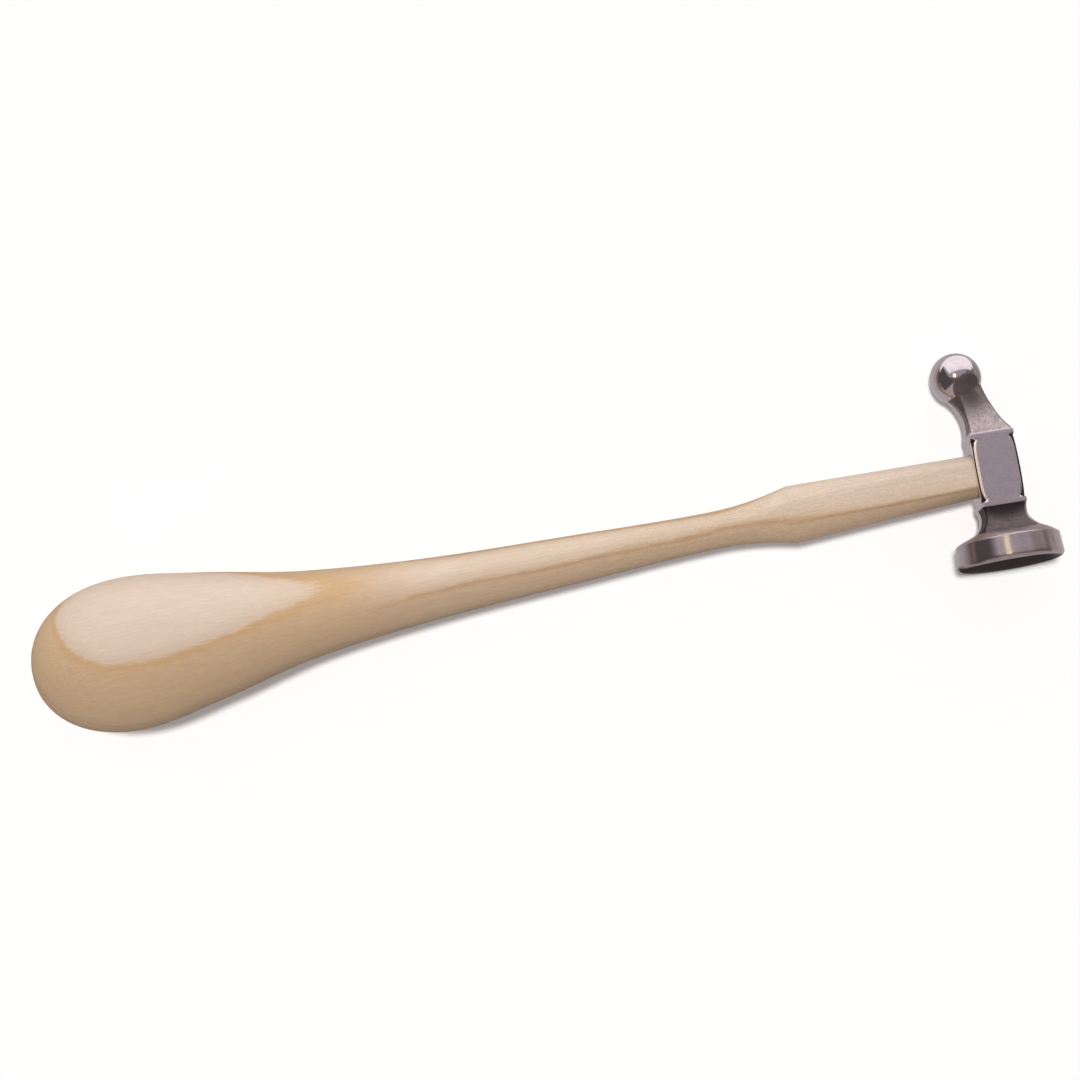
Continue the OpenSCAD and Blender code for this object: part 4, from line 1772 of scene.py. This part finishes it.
@dataclass
class Studio:
    """Pale bench, soft light from the ball's side, and the camera straight above.

    Directions of the room are given by the picture's right and up and by the height over the bench.
    """

    camera_place: tuple[float, float, float] = (0.00169, 0.00282, 0.56183)
    camera_turn: float = math.radians(-11.7355)
    focal_px: float = 2200.0
    image_px: float = 1080.0
    sensor_mm: float = 36.0
    reach: float = 30.0
    dark: tuple[float, float, float] = (0.165, 0.142, 0.142)
    fill: float = 0.20
    bench_glow: float = 0.13
    bench_color: tuple[float, float, float] = (0.93, 0.925, 0.93)
    bench_roughness: float = 0.8
    near_clip: float = 0.01
    room_foot: float = 0.01
    key: Sun = Sun("key", (-0.13, 0.12, 1.0), 0.76, 8.0, (1.0, 0.985, 0.97))
    side: Sun = Sun("side", (0.05, 0.95, 0.31), 0.46, 40.0, (1.0, 0.985, 0.99))
    patches: tuple[Patch, ...] = (
        Patch("ceiling", (0.53, 0.475, 0.53),
              (Edge((0, 1, 0), 0.06, 0.14), Edge((-1, 0, 0), -0.62, 0.10))),
        Patch("right_wall", (0.31, 0.22, 0.21), (Edge((1, 0, 0), 0.62, 0.08), Edge((0, 1, 0), 0.1, 0.12))),
        Patch("near_wall", (0.60, 0.53, 0.535),
              (Edge((0, -1, 0), 0.38, 0.30), Edge((0.749, -0.662, 0.015), 0.0, 0.05))),
        Patch("left_wall", (0.13, 0.11, 0.11),
              (Edge((-0.716, -0.576, -0.394), 0.09, 0.14), Edge((-0.749, 0.662, -0.015), 0.0, 0.05))),
        Patch("panel", (1.42, 1.36, 1.40),
              (Edge((-0.271, 0.795, -0.542), 0.02, 0.07), Edge((-0.52, 0.726, 0.45), 0.02, 0.09),
               Edge((0.712, 0.653, 0.259), 0.0, 0.05))),
        Patch("panel_middle", (1.62, 1.56, 1.58),
              (Edge((-0.271, 0.795, -0.542), 0.26, 0.3), Edge((-0.52, 0.726, 0.45), 0.12, 0.2),
               Edge((0.712, 0.653, 0.259), 0.1, 0.2))),
        Patch("lamp", (3.1, 2.7, 1.75),
              (Edge((1, 0, 0), -0.34, 0.07), Edge((-1, 0, 0), 0.15, 0.07), Edge((0, 1, 0), 0.06, 0.08),
               Edge((0, -1, 0), -0.34, 0.08), Edge((0, 0, 1), 0.5))),
    )
    table_rise: float = 0.3
    table: tuple[float, float, float] = (0.62, 0.56, 0.57)
    table_glows: tuple[Patch, ...] = (
        Patch("left_far", (0.20, 0.175, 0.175), (Edge((-1, 0, 0), -62, 70),)),
        Patch("left_near", (0.70, 0.63, 0.65), (Edge((-1, 0, 0), -102, 14), Edge((1, 0, 0), 84, 14))),
        Patch("right_back", (0.40, 0.36, 0.365),
              (Edge((1, 0, 0), 122, 12), Edge((0, 1, 0), 24, 20), Edge((-1, 0, 0), -230, 80))),
        Patch("right_near", (0.68, 0.63, 0.64),
              (Edge((1, 0, 0), 128, 10), Edge((0, -1, 0), -24, 24), Edge((-1, 0, 0), -190, 60))),
        # Painted shadow: a dark card under the disc's face, for the bench's shade there that the face
        # mirrors.
        Patch("face_shadow_card", (0.045, 0.036, 0.036),
              (Edge((0.19, -0.98, 0), 25.5, 6), Edge((-0.19, 0.98, 0), -52, 20),
               Edge((0.98, 0.19, 0), 92, 18), Edge((-0.98, -0.19, 0), -134, 12))),
        # Painted light: a bright pool on the bench beyond the ball, for the panel's light and gleam there.
        Patch("softbox_pool", (1.55, 1.49, 1.52),
              (Edge((0.38, 0.925, 0), 98.5, 3), Edge((-0.5, 0.866, 0), -6, 8))),
    )

    def picture(self, right: float, up: float, high: float) -> Vector:
        """Turns the picture's right and up, and the height over the bench, into the part's frame."""
        return Matrix.Rotation(self.camera_turn, 3, "Z") @ Vector((right, up, high))

    def camera(self) -> None:
        """Creates the camera."""
        data = bpy.data.cameras.new("camera")
        data.sensor_width = self.sensor_mm
        data.lens = self.focal_px * self.sensor_mm / self.image_px
        data.clip_start = self.near_clip
        camera = bpy.data.objects.new("camera", data)
        camera.location = self.camera_place
        camera.rotation_euler = (0, 0, self.camera_turn)
        bpy.context.scene.collection.objects.link(camera)
        bpy.context.scene.camera = camera

    def spare_bench(self, lamp: bpy.types.Object) -> None:
        """Keeps a lamp's light, and so its long shadow, off the bench.

        Args:
            lamp: The lamp.
        """
        spared = bpy.data.collections.new("spared_bench")
        spared.objects.link(bpy.data.objects["bench"])
        spared.collection_objects[0].light_linking.link_state = "EXCLUDE"
        lamp.light_linking.receiver_collection = spared

    def lamp(self, sun: Sun) -> bpy.types.Object:
        """Adds a sun, which the steel doesn't mirror.

        Args:
            sun: The sun.

        Returns:
            Its lamp.
        """
        data = bpy.data.lights.new(sun.name, "SUN")
        data.energy = sun.level * math.pi
        data.angle = math.radians(sun.width)
        data.color = sun.color
        lamp = bpy.data.objects.new(sun.name, data)
        lamp.rotation_euler = self.picture(*sun.way).to_track_quat("Z", "Y").to_euler()
        lamp.visible_glossy = False
        bpy.context.scene.collection.objects.link(lamp)
        return lamp

    def floor(self) -> None:
        """Builds the white bench, which keeps the hammer's shadow."""
        mesh = bmesh.new()
        bmesh.ops.create_grid(mesh, x_segments=2, y_segments=2, size=self.reach)
        floor = finished("bench", mesh, Matrix.Identity(4))
        made, nodes, shader = new_material("white_bench")
        shader.inputs["Base Color"].default_value = (*self.bench_color, 1)
        shader.inputs["Roughness"].default_value = self.bench_roughness
        shader.inputs["Specular IOR Level"].default_value = 0.0
        shader.inputs["Emission Color"].default_value = (1, 1, 1, 1)
        nodes.link(nodes.math("MULTIPLY", shown_rays(nodes), self.bench_glow),
                   shader.inputs["Emission Strength"])
        floor.data.materials.append(made)

    @staticmethod
    def mirrored_only(piece: bpy.types.Object, name: str) -> Nodes:
        """Lets only the gloss of other surfaces see a piece of the studio, and empties its material.

        Args:
            piece: The piece of the studio.
            name: Name of its material.

        Returns:
            The writer of its material, which holds no nodes yet.
        """
        for ray in ("camera", "diffuse", "transmission", "volume_scatter", "shadow"):
            setattr(piece, "visible_" + ray, False)
        made, nodes, _ = new_material(name)
        made.node_tree.nodes.clear()
        piece.data.materials.append(made)
        return nodes

    def picture_axes(self, nodes: Nodes) -> bpy.types.NodeSocket:
        """Object coordinates turned into the picture's right and up."""
        return nodes.add("VectorRotate", rotation_type="Z_AXIS", Angle=-self.camera_turn,
                         Vector=nodes.add("TexCoord").outputs["Object"]).outputs[0]

    def glow(self, nodes: Nodes, place: bpy.types.NodeSocket, base: tuple[float, float, float],
             patches: Sequence[Patch]) -> None:
        """Lets a piece of the studio glow in its patches' colours.

        Args:
            nodes: Writer of its material.
            place: Direction or place that the patches' edges cut.
            base: Glow outside the patches.
            patches: The patches, each over the ones before it.
        """
        glow = (*base, 1)
        for patch in patches:
            glow = nodes.mix(self.inside(nodes, place, patch), glow, (*patch.glow, 1))
        emission = nodes.add("Emission", Color=glow, Strength=1.0)
        nodes.link(emission.outputs[0], nodes.add("OutputMaterial").inputs[0])

    def table_top(self) -> None:
        """Lays the glowing patches of the table beside the hammer, which only its gloss sees; among them
        are a painted shadow under the disc's face and a painted pool of the panel's light beyond the ball.
        """
        mesh = bmesh.new()
        bmesh.ops.create_grid(mesh, x_segments=2, y_segments=2, size=self.reach)
        bmesh.ops.translate(mesh, verts=mesh.verts, vec=(0, 0, self.table_rise * MM))
        table = finished("table_top", mesh, Matrix.Identity(4))
        nodes = self.mirrored_only(table, "table_glow")
        place = nodes.scaled(self.picture_axes(nodes), 1 / MM)
        self.glow(nodes, place, self.table, self.table_glows)

    def room(self) -> None:
        """Builds the room round the bench, which only the hammer's gloss sees."""
        mesh = bmesh.new()
        bmesh.ops.create_uvsphere(mesh, u_segments=64, v_segments=32, radius=self.reach)
        bmesh.ops.delete(mesh, geom=[v for v in mesh.verts if v.co.z < -self.room_foot], context="VERTS")
        room = finished("room", mesh, Matrix.Identity(4))
        nodes = self.mirrored_only(room, "room_glow")
        way = nodes.vector("NORMALIZE", self.picture_axes(nodes)).outputs[0]
        self.glow(nodes, way, self.dark, self.patches)

    @staticmethod
    def inside(nodes: Nodes, way: bpy.types.NodeSocket, patch: Patch) -> bpy.types.NodeSocket:
        """Mask of one patch.

        Args:
            nodes: Writer of the material.
            way: Direction or place that the edges cut.
            patch: The patch.

        Returns:
            The mask's socket.
        """
        mask = None
        for edge in patch.edges:
            reach = nodes.vector("DOT_PRODUCT", way, edge.facing).outputs["Value"]
            part = nodes.smooth(reach, edge.offset - edge.soft / 2, edge.offset + edge.soft / 2)
            mask = part if mask is None else nodes.math("MULTIPLY", mask, part)
        return mask

    def world(self) -> None:
        """Sets the white background and the plain fill light."""
        world = bpy.data.worlds.new("pale_world")
        bpy.context.scene.world = world
        world.use_nodes = True
        world.node_tree.nodes.clear()
        nodes = Nodes(world.node_tree)
        color = nodes.mix(shown_rays(nodes), (self.fill, self.fill, self.fill, 1), (1, 1, 1, 1))
        background = nodes.add("Background", Color=color, Strength=1.0)
        nodes.link(background.outputs[0], nodes.add("OutputWorld").inputs[0])

    def build(self) -> None:
        """Builds the whole studio."""
        self.camera()
        self.floor()
        self.room()
        self.table_top()
        self.world()
        self.lamp(self.key)
        self.spare_bench(self.lamp(self.side))
        bpy.context.scene.view_settings.view_transform = "Standard"


def hold(piece: bpy.types.Object, slot: str, *nodes: str) -> None:
    """Makes a piece ride on the part's body and stand for its nodes.

    Args:
        piece: The piece.
        slot: The record's material slot; not used.
        nodes: Nodes that it replaces.
    """
    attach(piece, BODY)
    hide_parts(*nodes)
    LOG.info("%s: %d faces for %s", piece.name, len(piece.data.polygons), ", ".join(nodes))


def main() -> None:
    """Builds the studio and the hammer's pieces in order."""
    logging.basicConfig(level=logging.INFO, format="%(message)s")
    Studio().build()
    effects = Effects()
    shape = HammerHead()
    handle_shape = Handle(seat_x=-shape.half_w)
    seat = Seat.from_mounts(handle_shape.cant).head(shape.half_w, shape.block_mid)
    butt = Matrix.Translation((-handle_shape.reach, 0, 0))
    grain = seat @ Matrix.Rotation(handle_shape.cant, 4, "Z") @ butt

    head = shape.build(effects, seat)
    hold(head, "polished_steel", "hammer_head")

    wedges = Wedges(outer=handle_shape.tenon_end)
    handle = handle_shape.build(seat)
    wedges.cut_tenon(handle, seat)
    handle.data.materials.append(Maple().material(grain))
    hold(handle, "maple", "handle")

    wood = wedges.build_wood(seat)
    wood.data.materials.append(WedgeWood().material(seat))
    hold(wood, "wedge_wood", "wooden_wedge")
    steel = wedges.build_steel(seat)
    finish = SteelFinish("wedge_steel_grey", (0.42, 0.40, 0.42), roughness=0.35, spread=0.1,
                         lines=(2.0, 0.08, 0.006), pits=(0.2, 0.006), blotch=0.4)
    steel.data.materials.append(finish.material(effects, seat))
    hold(steel, "wedge_steel", "steel_wedge")


if __name__ == "__main__":
    main()
